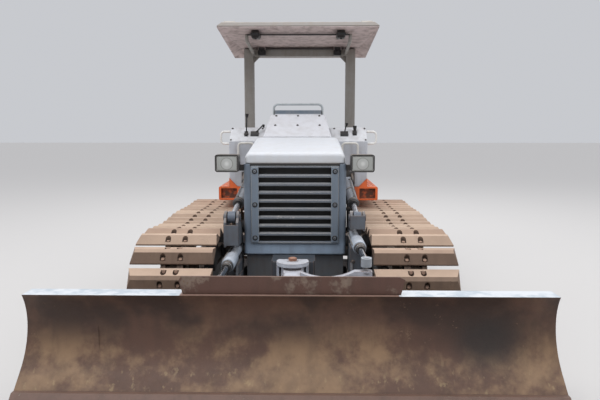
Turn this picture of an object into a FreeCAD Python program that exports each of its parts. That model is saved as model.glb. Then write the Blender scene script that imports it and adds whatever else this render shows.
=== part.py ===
"""Small crawler bulldozer: swamp shoes, an open two-post canopy and a blade that lifts, angles and tilts.

Millimetres. X runs to the machine's left as seen from the blade (the viewer's right), Y to the rear, Z up.
The origin is on the ground, at the middle of the whole machine's length and width.
"""
import FreeCAD, Part
import math
import os

V = FreeCAD.Vector

# Fits
running_gap = 0.3            # between pieces that seat on each other or turn in each other
clear_gap = 6.0              # between pieces that move past each other

# Whole machine
half_length = 1764.0         # blade tip to the middle, and the middle to the drawbar's end
drawbar_reach = 264.0        # the drawbar's end behind the frame's end
belly_z = 295.0              # ground clearance

# Tracks
track_gauge = 1450.0
shoe_width = 500.0
link_pitch = 135.0
link_count = 38
sprocket_teeth = 13          # one tooth between each two pins
shoe_seat = 44.0             # pin line to the underside of a shoe
shoe_ridge = 95.0            # pin line to the ridge that stands on the ground
shoe_edge = 9.0              # thickness of a shoe at its front and rear edge
shoe_gap = 4.0               # between two shoes on the straight run
ridge_width = 26.0
ridge_setback = 24.0         # the ridge stops short of the outer end
rail_inside = 38.0           # from the track's middle to a rail's inner face
rail_outside = 68.0
rail_depth = 42.0            # pin line to the face that the rollers run on
first_pin = 0.35             # where the first pin lies, in links
front_sag = 20.0
rear_sag = 9.0

# Wheels of the track
idler_y = -610.0
idler_flange = 20.0          # the idler's middle flange stands this much over its treads
roller_radius = 62.0
roller_flange = 10.0
roller_count = 5
roller_first_y = -290.0
roller_spacing = 240.0
carrier_y = 250.0
carrier_radius = 52.0
carrier_gap = 0.7            # under the links, which sag a little either side of it
shaft_radius = 22.0

# Track frame
beam_half_width = 76.0
beam_low_z = 292.0
beam_high_z = 430.0
beam_front_y = -345.0
beam_rear_y = 735.0
guard_plate = 12.0
guard_inside = 82.0
guard_low_z = 152.0
yoke_inside = 84.0
yoke_plate = 20.0
yoke_height = 84.0
pivot_shaft_y = 640.0
pivot_shaft_z = 360.0
pivot_shaft_radius = 42.0

# Final drives
drive_case_radius = 185.0
drive_case_inner_x = 500.0
axle_radius = 105.0
hub_radius = 118.0
sprocket_thickness = 44.0

# Main frame
frame_half_width = 320.0
rail_plate = 26.0
frame_front_y = -440.0
frame_rear_y = half_length - drawbar_reach
frame_top_z = 560.0
belly_plate = 12.0
rear_case_front_y = 900.0
rear_case_top_z = 730.0
cross_plate = 24.0

# Equalizer bar
equalizer_y = -50.0
equalizer_depth = 96.0
equalizer_low_z = 575.0
equalizer_high_z = 632.0
equalizer_half_length = 648.0

# Engine
engine_half_width = 220.0
engine_front_y = -290.0
engine_rear_y = 330.0
engine_low_z = 650.0
engine_high_z = 1110.0
mount_lug = 50.0

# Radiator guard and grille
guard_half_width = 334.0
guard_front_y = -473.0
guard_rear_y = -300.0
guard_bottom_z = 576.0
guard_top_z = 1168.0
guard_wall = 14.0
guard_corner = 22.0
window_half_width = 242.0
window_low_z = 660.0
window_high_z = 1142.0
grille_half_width = 285.0
grille_low_z = 646.0
grille_high_z = 1156.0
grille_plate = 9.0
grille_opening_half_width = 236.0
grille_opening_margin = 10.0
grille_strip = 4.0            # the bolted strips stand this much over the slats' panel
slat_count = 8
slat_height = 22.0
slat_plate = 5.0
slat_depth = 9.0

# Hood, cowl and dash
hood_front_y = -440.0
hood_rear_y = 150.0
hood_bottom_z = 1173.0
hood_front_z = 1238.0
hood_rear_z = 1331.0
hood_front_half_width = 330.0
hood_rear_half_width = 316.0
hood_wall = 7.0
hood_edge = 42.0
cowl_front_y = 150.6
cowl_rear_y = 500.0
cowl_front_z = 1340.0
cowl_rear_z = 1510.0
cowl_front_half_width = 261.5
cowl_rear_half_width = 224.0
cowl_edge = 20.0
cowl_bottom_z = 1173.0
dash_half_width = 187.0
dash_top_z = 1545.0
dash_depth = 95.0
dash_bottom_z = 1250.0
handle_radius = 9.0

# Firewall and lift cylinder ears
firewall_y = 499.0
firewall_plate = 12.0
firewall_half_width = 462.0
firewall_top_z = 1168.0
ear_thickness = 16.0

# Side panels
panel_plate = 7.0
panel_half_width = 326.0
panel_low_z = 655.0
vent_count = 6

# Deck
deck_floor_z = 790.0
deck_plate = 10.0
deck_rear_y = 1325.0
sill_low_z = 812.0
sill_high_z = 925.0
sill_inner_x = 415.0
sill_outer_x = 655.0
sill_front_y = 512.0

# Consoles
console_inner_x = 262.0
console_outer_x = 567.0
console_front_y = 520.0
console_rear_y = 1080.0
console_low_z = sill_high_z + running_gap
gusset_reach = 70.0
console_front_z = 1295.0
console_slope_y = 670.0
console_top_z = 1408.0
console_rear_z = 1290.0

# Seat
seat_half_width = 228.0
seat_front_y = 830.0
seat_rear_y = 1190.0
seat_base_top_z = 1055.0
cushion_height = 115.0
back_top_z = 1500.0
back_thickness = 95.0

# Fuel tank
tank_half_width = 455.0
tank_front_y = frame_rear_y - 170.0
tank_rear_y = frame_rear_y + 128.0
tank_low_z = 745.0
tank_high_z = 1290.0
tank_edge = 60.0

# Drawbar
drawbar_z = 420.0
drawbar_half_width = 60.0
drawbar_plate = 26.0
drawbar_gap = 60.0
drawbar_pin_y = half_length - 74.0
drawbar_bore = 16.0
rear_bolt_radius = 9.0
rear_bolt_half_x = 150.0
rear_bolt_low_z = 520.0
rear_bolt_high_z = 660.0

# Canopy
post_x = 468.0
post_half_width = 43.0
post_front_y = 1205.0
post_rear_y = 1300.0
post_wall = 8.0
post_foot_plate = 16.0
gusset_leg = 62.0
roof_half_width = 640.0
roof_rear_half_width = 625.0
roof_front_y = 455.0
roof_rear_y = 1440.0
roof_front_top_z = 2236.0
roof_rear_top_z = roof_front_top_z - 42.0
roof_rim_front_z = roof_front_top_z - 32.0
roof_rim_rear_z = roof_front_top_z - 148.0
roof_shoulder = 34.0         # the rim stands this far outside the roof's top
bead_height = 14.0
roof_wall = 8.0
liner_half_width = 600.0
liner_rear_half_width = 530.0
liner_front_y = 620.0
liner_rear_y = 1330.0
liner_front_z = roof_front_top_z - 68.0
liner_rear_z = roof_front_top_z - 104.0
liner_thickness = 6.0
beam_top_z = liner_rear_z - 6.0
beam_bottom_z = beam_top_z - 66.0
stay_radius = 14.0
clamp_x = 345.0

# Headlights
lamp_x = 434.0
lamp_half_width = 76.0
lamp_low_z = 1119.0
lamp_high_z = 1231.0
lamp_rim = 9.0
lamp_front_y = -532.0
lamp_rear_y = -436.0

# C-frame
arm_inner_x = 347.0
arm_outer_x = 453.0
lift_pivot_y = 300.0
lift_pivot_z = 300.0
lift_pin_radius = 30.0
arm_eye_radius = 66.0
arm_rear_height = 112.0
arm_front_y = -690.0
arm_front_top_z = 470.0
bracket_rear_y = -350.0
bracket_front_y = -625.0

# Lift cylinders
lift_eye_y = -560.0
lift_eye_z = 832.0
lift_base_y = 420.0
lift_base_z = 975.0
lift_barrel_radius = 37.5
lift_barrel_length = 668.0
lift_rod_radius = 18.0
lift_rod_length = 620.0
cylinder_x = 400.0
eye_radius = 38.0
eye_width = 48.0
clevis_gap = 62.0

# Blade angle pivot and its yoke
angle_pivot_y = -960.0
angle_pin_radius = 32.0
nose_plate_half_width = 108.0
moon_plate = 22.0
moon_radius = 93.0
moon_flat_y = -915.0
hub_top_z = 613.0
hub_low_z = 300.0
nose_plate = 34.0
yoke_hub_radius = 70.0
cheek_plate = 16.0           # the cap's two cheeks, either side of the hub

# Angle cylinders
angle_base_y = -400.0
angle_barrel_radius = 32.0
angle_barrel_length = 450.0
angle_rod_radius = 17.0
angle_rod_length = 455.0
angle_base_x = 380.0
angle_eye_x = 408.0
angle_eye_y = -1100.0
angle_eye_radius = 30.0
angle_pin_stub = 3.0
# side: base height, eye height
angle_heights = {"left": (605.0, 555.0), "right": (712.0, 668.0)}
bracket_face_top = {"left": 790.0, "right": 852.0}
yoke_arm_front_y = -1125.0
yoke_arm_rear_y = -1075.0
yoke_arm_end_x = 440.0

# Tilt pivot and tilt cylinder
tilt_pivot_z = 352.0
tilt_pin_radius = 38.0
tilt_boss_radius = 72.0
tilt_boss_front_y = -1345.0
tilt_boss_rear_y = -1225.0
tilt_cylinder_y = -1172.0
tilt_base_x = -300.0
tilt_base_z = 525.0
tilt_eye_x = 300.0
tilt_eye_z = 560.0
tilt_barrel_radius = 31.0
tilt_barrel_length = 330.0
tilt_rod_radius = 15.0
tilt_rod_length = 300.0
tilt_eye_radius = 27.0
tilt_eye_width = 34.0
tilt_clevis_gap = 46.0

# Blade
blade_top_half_width = 1280.0
blade_foot_half_width = 1320.0
blade_lip_z = 604.0
blade_arc_radius = 300.0
blade_arc_z = 420.0
blade_arc_end = 40.0         # degrees below level where the curve meets the straight foot
blade_plate = 12.0
blade_seam_z = 155.0
edge_plate = 20.0
flange_depth = 108.0
spill_half_width = 540.0
spill_top_z = 692.0
spill_plate = 10.0
rib_plate = 14.0

parts = {}


def box(x0, x1, y0, y1, z0, z1):
    """A block between two corners."""
    return Part.makeBox(x1 - x0, y1 - y0, z1 - z0, V(x0, y0, z0))


def bar(start, end, radius):
    """A round bar between two points."""
    run = end.sub(start)
    return Part.makeCylinder(radius, run.Length, start, run)


def bar_x(x0, x1, y, z, radius):
    """A round bar across the machine."""
    return bar(V(x0, y, z), V(x1, y, z), radius)


def flat(points, reach):
    """A closed flat outline of 3-D points, pulled along a vector."""
    return Part.Face(Part.makePolygon(points + [points[0]])).extrude(reach)


def side_plate(outline, x0, x1):
    """A plate whose (y, z) outline is seen from the side."""
    return flat([V(x0, y, z) for y, z in outline], V(x1 - x0, 0, 0))


def face_plate(outline, y0, y1):
    """A plate whose (x, z) outline is seen from the front."""
    return flat([V(x, y0, z) for x, z in outline], V(0, y1 - y0, 0))


def top_plate(outline, z0, z1):
    """A plate whose (x, y) outline is seen from above."""
    return flat([V(x, y, z0) for x, y in outline], V(0, 0, z1 - z0))


def fuse(*shapes):
    """Solids that touch or overlap, made one."""
    return shapes[0].multiFuse(list(shapes[1:])).removeSplitter()


def group(*shapes):
    """Separate solids that share a node."""
    return Part.makeCompound([solid for shape in shapes for solid in shape.Solids])


def mirrored(shape):
    """The same piece on the other side of the machine."""
    return shape.mirror(V(0, 0, 0), V(1, 0, 0))


def both(shape):
    """A piece and its mirror image, which do not touch."""
    return group(shape, mirrored(shape))


def corner_arc(before, corner, after, bend):
    """The start, middle and end of a round bend at a corner."""
    back = before.sub(corner).normalize()
    on = after.sub(corner).normalize()
    half = back.getAngle(on) / 2
    reach = bend / math.tan(half)
    inward = back.add(on).normalize()
    start = corner.add(V(back).multiply(reach))
    middle = corner.add(V(inward).multiply(bend / math.sin(half) - bend))
    end = corner.add(V(on).multiply(reach))
    return start, middle, end


def path(points, bend):
    """Straight runs joined by round bends."""
    edges = []
    here = points[0]
    for before, corner, after in zip(points, points[1:], points[2:]):
        start, middle, end = corner_arc(before, corner, after, bend)
        edges.append(Part.makeLine(here, start))
        edges.append(Part.Arc(start, middle, end).toShape())
        here = end
    edges.append(Part.makeLine(here, points[-1]))
    return Part.Wire(edges)


def tube(points, radius, bend):
    """A bent round tube, solid, along a path."""
    route = path(points, bend)
    ring = Part.Wire([Part.makeCircle(radius, points[0], points[1].sub(points[0]))])
    return route.makePipeShell([ring], True, False)


def rounded_face(points, bends):
    """A flat face whose corners are rounded, each by its own radius (0 stays sharp)."""
    edges = []
    count = len(points)
    ends = []
    for index in range(count):
        if bends[index] > 0:
            turn = corner_arc(points[index - 1], points[index], points[(index + 1) % count], bends[index])
        else:
            turn = (points[index], None, points[index])
        ends.append(turn)
    for index in range(count):
        start, middle, end = ends[index]
        if middle is not None:
            edges.append(Part.Arc(start, middle, end).toShape())
        following = ends[(index + 1) % count][0]
        edges.append(Part.makeLine(end, following))
    return Part.Face(Part.Wire(edges))


def turned(profile, y, z):
    """A wheel: an (x, radius) outline turned about a cross axis."""
    points = [V(x, y, z + radius) for x, radius in profile]
    face = Part.Face(Part.makePolygon(points + [points[0]]))
    return face.revolve(V(0, y, z), V(1, 0, 0), 360)


# Track loop
pitch_radius = link_pitch / 2 / math.sin(math.pi / sprocket_teeth)
wheel_z = shoe_ridge + pitch_radius
straight_links = (link_count - sprocket_teeth) / 2
wrap_links = sprocket_teeth / 2
sprocket_y = idler_y + straight_links * link_pitch
track_x = track_gauge / 2
rail_face_radius = pitch_radius * math.cos(math.pi / sprocket_teeth) - rail_depth - running_gap
ground_rail_z = shoe_ridge + rail_depth + running_gap


def sag(y):
    """How far the top run hangs below a straight line."""
    if y < carrier_y:
        return front_sag * math.sin(math.pi * (y - idler_y) / (carrier_y - idler_y)) ** 2
    return rear_sag * math.sin(math.pi * (y - carrier_y) / (sprocket_y - carrier_y)) ** 2


def pin_place(step):
    """The (y, z) of the loop's line, a number of links round it from under the idler."""
    step = step % link_count
    if step < straight_links:
        return idler_y + step * link_pitch, shoe_ridge
    step -= straight_links
    if step < wrap_links:
        angle = math.pi * step / wrap_links
        return sprocket_y + pitch_radius * math.sin(angle), wheel_z - pitch_radius * math.cos(angle)
    step -= wrap_links
    if step < straight_links:
        y = sprocket_y - step * link_pitch
        return y, wheel_z + pitch_radius - sag(y)
    angle = math.pi * (step - straight_links) / wrap_links
    return idler_y - pitch_radius * math.sin(angle), wheel_z + pitch_radius * math.cos(angle)


pins = [pin_place(index + first_pin) for index in range(link_count)]


def link_frame(index):
    """A link's middle, the direction along it and the direction out of the loop, as (y, z) pairs."""
    (y0, z0), (y1, z1) = pins[index], pins[(index + 1) % link_count]
    length = math.hypot(y1 - y0, z1 - z0)
    along = ((y1 - y0) / length, (z1 - z0) / length)
    outward = (along[1], -along[0])
    return ((y0 + y1) / 2, (z0 + z1) / 2), along, outward


def shoe(index):
    """One swamp shoe: a low roof section, its ridge set back from the outer end."""
    (my, mz), (ay, az), (oy, oz) = link_frame(index)
    half_base = (link_pitch - shoe_gap) / 2
    half_ridge = ridge_width / 2
    # along the track, height over the pin line
    section = [(-half_base, shoe_seat), (-half_base, shoe_seat + shoe_edge), (-half_ridge, shoe_ridge),
               (half_ridge, shoe_ridge), (half_base, shoe_seat + shoe_edge), (half_base, shoe_seat)]
    rise = shoe_ridge - shoe_seat - shoe_edge
    near, far = [], []
    for u, h in section:
        place = V(0, my + ay * u + oy * h, mz + az * u + oz * h)
        setback = ridge_setback * max(0.0, h - shoe_seat - shoe_edge) / rise
        near.append(place.add(V(track_x - shoe_width / 2 + setback / 4, 0, 0)))
        far.append(place.add(V(track_x + shoe_width / 2 - setback, 0, 0)))
    faces = [Part.Face(Part.makePolygon([near[i], near[i - 1], far[i - 1], far[i], near[i]])) for i in range(6)]
    for end in (near, far):
        foot = [end[0], end[1], end[4], end[5], end[0]]
        slope = [end[1], end[2], end[3], end[4], end[1]]
        faces.append(Part.Face(Part.makePolygon(foot)))
        faces.append(Part.Face(Part.makePolygon(slope)))
    return Part.Solid(Part.Shell(faces))


def loop_line(offset):
    """The loop's corner points, moved out of it by an offset, with mitred corners."""
    corners = []
    for index in range(link_count):
        outer = [link_frame(index - 1)[2], link_frame(index)[2]]
        cos_turn = outer[0][0] * outer[1][0] + outer[0][1] * outer[1][1]
        reach = offset / (1 + cos_turn)
        y, z = pins[index]
        corners.append((y + reach * (outer[0][0] + outer[1][0]), z + reach * (outer[0][1] + outer[1][1])))
    return corners


def link_rail(x0, x1):
    """One of the two chains of links that carry the shoes."""
    outside = side_plate(loop_line(shoe_seat + 1.0), x0, x1)
    inside = side_plate(loop_line(-rail_depth), x0 - 1, x1 + 1)
    return outside.cut(inside)


def track():
    """The whole loop: two rails and every shoe."""
    rails = [link_rail(track_x - rail_outside, track_x - rail_inside),
             link_rail(track_x + rail_inside, track_x + rail_outside)]
    return fuse(*rails, *[shoe(index) for index in range(link_count)])


right_track = track()
parts["track_right"] = right_track
parts["track_left"] = mirrored(right_track)


def idler():
    """The front wheel: two treads under the rails and a flange between them, on a spoke plate."""
    tread = rail_face_radius
    profile = [(-74, tread - 26), (-74, tread), (-rail_inside + 3, tread), (-rail_inside + 8, tread + idler_flange),
               (rail_inside - 8, tread + idler_flange), (rail_inside - 3, tread), (74, tread), (74, tread - 26),
               (16, tread - 46), (16, 84), (66, 70), (66, shaft_radius + 8 + running_gap),
               (-66, shaft_radius + 8 + running_gap), (-66, 70), (-16, 84), (-16, tread - 46)]
    return turned([(track_x + x, radius) for x, radius in profile], idler_y, wheel_z)


parts["idler_right"] = idler()
parts["idler_left"] = mirrored(parts["idler_right"])


def sprocket():
    """The rear wheel: a toothed rim between the rails, bolted to a hub."""
    tip, root = pitch_radius + 16, pitch_radius - 30
    step = 2 * math.pi / sprocket_teeth
    # angle from the tooth's middle in steps, radius
    tooth = [(-0.36, root), (-0.13, tip), (0.13, tip), (0.36, root)]
    first = (wrap_links - ((straight_links + wrap_links - first_pin) % 1)) * step - math.pi / 2
    outline = []
    for index in range(sprocket_teeth):
        for turn, radius in tooth:
            angle = math.pi - (first + (index + turn + 0.5) * step)
            outline.append((sprocket_y + radius * math.cos(angle), wheel_z + radius * math.sin(angle)))
    half = sprocket_thickness / 2
    rim = side_plate(outline, track_x - half, track_x + half)
    dish = turned([(track_x - 62, 0), (track_x - 62, 150), (track_x + 30, 150), (track_x + 46, hub_radius),
                   (track_x + 92, hub_radius - 16), (track_x + 100, hub_radius - 40), (track_x + 100, 0)],
                  sprocket_y, wheel_z)
    return fuse(rim, dish)


parts["sprocket_right"] = sprocket()
parts["sprocket_left"] = mirrored(parts["sprocket_right"])

roller_z = ground_rail_z + roller_radius
roller_ys = [roller_first_y + roller_spacing * index for index in range(roller_count)]
carrier_z = wheel_z + pitch_radius - rail_depth - carrier_gap - carrier_radius


def roller(y, z, radius, shaft_reach):
    """A track roller with outer flanges, on its own shaft."""
    body = turned([(track_x - 79, 0), (track_x - 79, radius - 8), (track_x - 79, radius + roller_flange),
                   (track_x - 70, radius + roller_flange), (track_x - 69, radius), (track_x - 34, radius),
                   (track_x - 28, radius - 18), (track_x + 28, radius - 18), (track_x + 34, radius),
                   (track_x + 69, radius), (track_x + 70, radius + roller_flange),
                   (track_x + 79, radius + roller_flange), (track_x + 79, 0)], y, z)
    return fuse(body, bar_x(track_x - shaft_reach, track_x + shaft_reach, y, z, shaft_radius))


rollers = [roller(y, roller_z, roller_radius, guard_inside + guard_plate + 8) for y in roller_ys]
rollers.append(roller(carrier_y, carrier_z, carrier_radius, guard_inside + guard_plate))
parts["track_rollers"] = both(group(*rollers))


def track_frame():
    """Box beam with a roller guard each side, the idler's yoke, and the shaft it swings on."""
    beam = box(track_x - beam_half_width, track_x + beam_half_width, beam_front_y, beam_rear_y,
               beam_low_z, beam_high_z)
    front = roller_ys[0] - 70
    rear = roller_ys[-1] + 70
    guard_outline = [(front, guard_low_z + 60), (front + 50, guard_low_z), (rear - 50, guard_low_z),
                     (rear, guard_low_z + 60), (rear, beam_low_z + 40), (front, beam_low_z + 40)]
    pieces = [beam]
    yoke_outline = [(idler_y - 52, wheel_z - 30), (idler_y - 52, wheel_z + 30), (idler_y - 30, wheel_z + 50),
                    (idler_y + 60, wheel_z + 50), (beam_front_y, wheel_z + yoke_height / 2),
                    (beam_front_y + 130, wheel_z + yoke_height / 2),
                    (beam_front_y + 130, wheel_z - yoke_height / 2), (beam_front_y, wheel_z - yoke_height / 2),
                    (idler_y + 60, wheel_z - 50), (idler_y - 30, wheel_z - 50)]
    for side in (-1, 1):
        guard_x = sorted((track_x + side * guard_inside, track_x + side * (guard_inside + guard_plate)))
        yoke_x = sorted((track_x + side * yoke_inside, track_x + side * (yoke_inside + yoke_plate)))
        pieces.append(side_plate(guard_outline, *guard_x))
        pieces.append(side_plate(yoke_outline, *yoke_x))
        tie_x = sorted((track_x + side * (beam_half_width - 6), track_x + side * (yoke_inside + 6)))
        pieces.append(box(*tie_x, beam_front_y, rear, beam_low_z + 8, beam_low_z + 40))
        pieces.append(box(*tie_x, beam_front_y + 6, beam_front_y + 124, wheel_z - 36, wheel_z + 36))
    pieces.append(bar_x(track_x - yoke_inside - yoke_plate - 8, track_x + yoke_inside + yoke_plate + 8,
                        idler_y, wheel_z, shaft_radius + 8))
    post = box(track_x - guard_inside - guard_plate, track_x - guard_inside, carrier_y - 40, carrier_y + 40,
               beam_high_z - 60, carrier_z + 34)
    foot = box(track_x - guard_inside - guard_plate, track_x - beam_half_width + 6, carrier_y - 40, carrier_y + 40,
               beam_high_z - 60, beam_high_z - 20)
    pieces += [post, foot, post.translated(V(2 * guard_inside + guard_plate, 0, 0)),
               foot.translated(V(guard_inside + guard_plate + beam_half_width - 6, 0, 0))]
    inner = track_x - beam_half_width
    pieces.append(bar_x(frame_half_width + 12, inner + 10, pivot_shaft_y, pivot_shaft_z, pivot_shaft_radius))
    pieces.append(side_plate([(pivot_shaft_y - 90, beam_low_z), (pivot_shaft_y + 90, beam_low_z),
                              (pivot_shaft_y + 60, beam_high_z), (pivot_shaft_y - 60, beam_high_z)],
                             inner - 26, inner + 4))
    pad_y0 = equalizer_y - equalizer_depth / 2 - 20
    pad_y1 = equalizer_y + equalizer_depth / 2 + 20
    pieces.append(box(inner - 54, inner + 4, pad_y0, pad_y1, beam_high_z - 60,
                      equalizer_low_z - running_gap))
    result = fuse(*pieces)
    cutters = [bar_x(track_x - 140, track_x + 140, y, roller_z, shaft_radius + running_gap) for y in roller_ys]
    cutters.append(bar_x(track_x - 100, track_x + 100, carrier_y, carrier_z, shaft_radius + running_gap))
    return result.cut(Part.makeCompound(cutters))


parts["track_frame_right"] = track_frame()
parts["track_frame_left"] = mirrored(parts["track_frame_right"])

parts["equalizer_bar"] = box(-equalizer_half_length, equalizer_half_length, equalizer_y - equalizer_depth / 2,
                             equalizer_y + equalizer_depth / 2, equalizer_low_z, equalizer_high_z)


def final_drive():
    """Drive case inside the track loop, with the axle housing that joins it to the rear case."""
    case = turned([(drive_case_inner_x, axle_radius), (drive_case_inner_x + 30, drive_case_radius),
                   (track_x - 62 - running_gap, drive_case_radius), (track_x - 62 - running_gap, 0),
                   (frame_half_width + running_gap, 0), (frame_half_width + running_gap, axle_radius)],
                  sprocket_y, wheel_z)
    flange = bar_x(frame_half_width + running_gap, frame_half_width + 24, sprocket_y, wheel_z, axle_radius + 34)
    return fuse(case, flange)


parts["final_drives"] = both(final_drive())


def main_frame():
    """Two plate rails on a belly plate, cross plates, and everything that bolts or pins to them."""
    pieces = [box(-frame_half_width, frame_half_width, frame_front_y, frame_rear_y, belly_z, belly_z + belly_plate)]
    for side in (-1, 1):
        x0, x1 = sorted((side * (frame_half_width - rail_plate), side * frame_half_width))
        pieces.append(side_plate([(frame_front_y, belly_z + 60), (frame_front_y + 40, belly_z),
                                  (frame_rear_y - 60, belly_z), (frame_rear_y, belly_z + 60),
                                  (frame_rear_y, frame_top_z), (frame_front_y, frame_top_z)], x0, x1))
        boss = sorted((side * (frame_half_width - rail_plate), side * (arm_inner_x - running_gap)))
        pieces.append(bar_x(*boss, lift_pivot_y, lift_pivot_z, arm_eye_radius - 12))
        pin = sorted((side * frame_half_width, side * (arm_outer_x + 8)))
        pieces.append(bar_x(*pin, lift_pivot_y, lift_pivot_z, lift_pin_radius))
        cap = sorted((side * (arm_outer_x + running_gap), side * (arm_outer_x + 10)))
        pieces.append(bar_x(*cap, lift_pivot_y, lift_pivot_z, lift_pin_radius + 14))
        socket = sorted((side * (frame_half_width - rail_plate), side * (frame_half_width + 12 - running_gap)))
        pieces.append(bar_x(*socket, pivot_shaft_y, pivot_shaft_z, pivot_shaft_radius + 18))
        post = sorted((side * (engine_half_width + 4), side * frame_half_width))
        for y in (engine_front_y + 70, engine_rear_y - 120):
            pieces.append(box(*post, y, y + mount_lug, frame_top_z - 20, engine_low_z - running_gap))
    for y in (frame_front_y, equalizer_y + 150, lift_pivot_y + 120):
        pieces.append(box(-frame_half_width, frame_half_width, y, y + cross_plate, belly_z, frame_top_z))
    pieces.append(box(-frame_half_width, frame_half_width, equalizer_y - 70, equalizer_y + 70,
                      frame_top_z - 40, equalizer_low_z - running_gap))
    return fuse(*pieces)


parts["main_frame"] = main_frame()


def rear_case():
    """The cast case between the rails that carries the final drives, with a row of bolt holes behind."""
    half = frame_half_width - rail_plate - running_gap
    low = belly_z + belly_plate + running_gap
    shape = side_plate([(rear_case_front_y, low), (frame_rear_y, low), (frame_rear_y, rear_case_top_z - 40),
                        (frame_rear_y - 40, rear_case_top_z), (rear_case_front_y, rear_case_top_z)], -half, half)
    holes = []
    for x in (-rear_bolt_half_x, rear_bolt_half_x):
        for z in (rear_bolt_low_z, rear_bolt_high_z):
            holes.append(bar(V(x, frame_rear_y - 40, z), V(x, frame_rear_y + 1, z), rear_bolt_radius))
    return shape.cut(Part.makeCompound(holes))


parts["rear_case"] = rear_case()


def drawbar():
    """A block on the rear case with two plates and a vertical pin bore through both."""
    front = frame_rear_y + running_gap
    half_gap = drawbar_gap / 2
    outer = half_gap + drawbar_plate
    block = box(-drawbar_half_width - 30, drawbar_half_width + 30, front, front + 50, drawbar_z - outer - 20,
                drawbar_z + outer + 8)
    tip = half_length
    corner = 30
    outline = [(-drawbar_half_width, front + 40), (-drawbar_half_width, tip - corner),
               (-drawbar_half_width + corner, tip), (drawbar_half_width - corner, tip),
               (drawbar_half_width, tip - corner), (drawbar_half_width, front + 40)]
    plates = [top_plate(outline, drawbar_z + half_gap, drawbar_z + outer),
              top_plate(outline, drawbar_z - outer, drawbar_z - half_gap)]
    bore = bar(V(0, drawbar_pin_y, drawbar_z - outer - 1), V(0, drawbar_pin_y, drawbar_z + outer + 1), drawbar_bore)
    return fuse(block, *plates).cut(bore)


parts["drawbar"] = drawbar()


def engine():
    """The heavy mass under the hood as one plain block, on four mounting lugs."""
    block = box(-engine_half_width, engine_half_width, engine_front_y, engine_rear_y, engine_low_z, engine_high_z)
    lugs = []
    for x in (-engine_half_width - 50, engine_half_width - 10):
        for y in (engine_front_y + 70, engine_rear_y - 120):
            lugs.append(box(x, x + 60, y, y + mount_lug, engine_low_z, engine_low_z + 40))
    return fuse(block, *lugs)


parts["engine_block"] = engine()


def radiator_guard():
    """Plate housing round the radiator: open behind, a window in front, a recessed foot on the frame."""
    outline = rounded_face([V(-guard_half_width, guard_rear_y, guard_bottom_z),
                            V(-guard_half_width, guard_front_y, guard_bottom_z),
                            V(guard_half_width, guard_front_y, guard_bottom_z),
                            V(guard_half_width, guard_rear_y, guard_bottom_z)], [0, guard_corner, guard_corner, 0])
    housing = outline.extrude(V(0, 0, guard_top_z - guard_bottom_z))
    inside = box(-guard_half_width + guard_wall, guard_half_width - guard_wall, guard_front_y + guard_wall,
                 guard_rear_y + 1, guard_bottom_z + guard_wall, guard_top_z - guard_wall)
    window = box(-window_half_width, window_half_width, guard_front_y - 1, guard_front_y + guard_wall + 1,
                 window_low_z, window_high_z)
    foot = box(-frame_half_width, frame_half_width, frame_front_y + 4, guard_rear_y, frame_top_z + running_gap,
               guard_bottom_z + 4)
    return fuse(housing.cut(inside).cut(window), foot)


parts["radiator_guard"] = radiator_guard()
parts["radiator_core"] = box(-guard_half_width + guard_wall + running_gap,
                             guard_half_width - guard_wall - running_gap, guard_front_y + 36, guard_front_y + 100,
                             guard_bottom_z + guard_wall + running_gap, guard_top_z - guard_wall - 8)


def grille():
    """A bolted panel with a row of louvre slats across its opening."""
    rear = guard_front_y - running_gap
    panel = box(-grille_half_width, grille_half_width, rear - grille_plate, rear, grille_low_z, grille_high_z)
    low = grille_low_z + grille_opening_margin
    high = grille_high_z - grille_opening_margin
    opening = box(-grille_opening_half_width, grille_opening_half_width, rear - grille_plate - 1, rear + 1, low, high)
    pitch = (high - low) / (slat_count + 1)
    front = rear - grille_plate
    slats = []
    for index in range(slat_count):
        z = low + pitch * (index + 1) - slat_height / 2
        outline = [(front + slat_plate, z), (front, z), (front, z + slat_height - slat_depth),
                   (rear + slat_depth - slat_plate, z + slat_height), (rear + slat_depth, z + slat_height),
                   (front + slat_plate, z + slat_height - slat_depth)]
        slats.append(side_plate(outline, -grille_opening_half_width - 2, grille_opening_half_width + 2))
    strips = [box(*sorted((side * grille_opening_half_width, side * (grille_half_width - 2))), front - grille_strip,
                  front + 1, low - 2, high + 2) for side in (-1, 1)]
    return fuse(panel.cut(opening), *slats, *strips)


parts["grille"] = grille()


def arch_face(y, half_width, low, high, edge):
    """A cross section with two rounded top corners."""
    points = [V(-half_width, y, low), V(-half_width, y, high), V(half_width, y, high), V(half_width, y, low)]
    return rounded_face(points, [0, edge, edge, 0])


def arch_loft(front, rear):
    """A solid between two cross sections, each (y, half width, low, high, edge)."""
    return Part.makeLoft([arch_face(*front).OuterWire, arch_face(*rear).OuterWire], True, True)


def hood():
    """Sheet hood over the engine: it rises rearward, with a rolled front lip, open below."""
    outer = arch_loft((hood_front_y, hood_front_half_width, hood_bottom_z, hood_front_z, hood_edge),
                      (hood_rear_y, hood_rear_half_width, hood_bottom_z, hood_rear_z, hood_edge))
    lip = [edge for edge in outer.Edges
           if all(abs(vertex.Point.y - hood_front_y) < 0.1 and vertex.Point.z > hood_front_z - 1
                  for vertex in edge.Vertexes)]
    outer = outer.makeFillet(hood_edge * 0.6, lip)
    wall = hood_wall
    inner = arch_loft((hood_front_y + wall, hood_front_half_width - wall, hood_bottom_z - 1, hood_front_z - wall - 1,
                       hood_edge - wall),
                      (hood_rear_y + 1, hood_rear_half_width - wall, hood_bottom_z - 1, hood_rear_z - wall,
                       hood_edge - wall))
    return outer.cut(inner)


parts["hood"] = hood()


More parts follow.
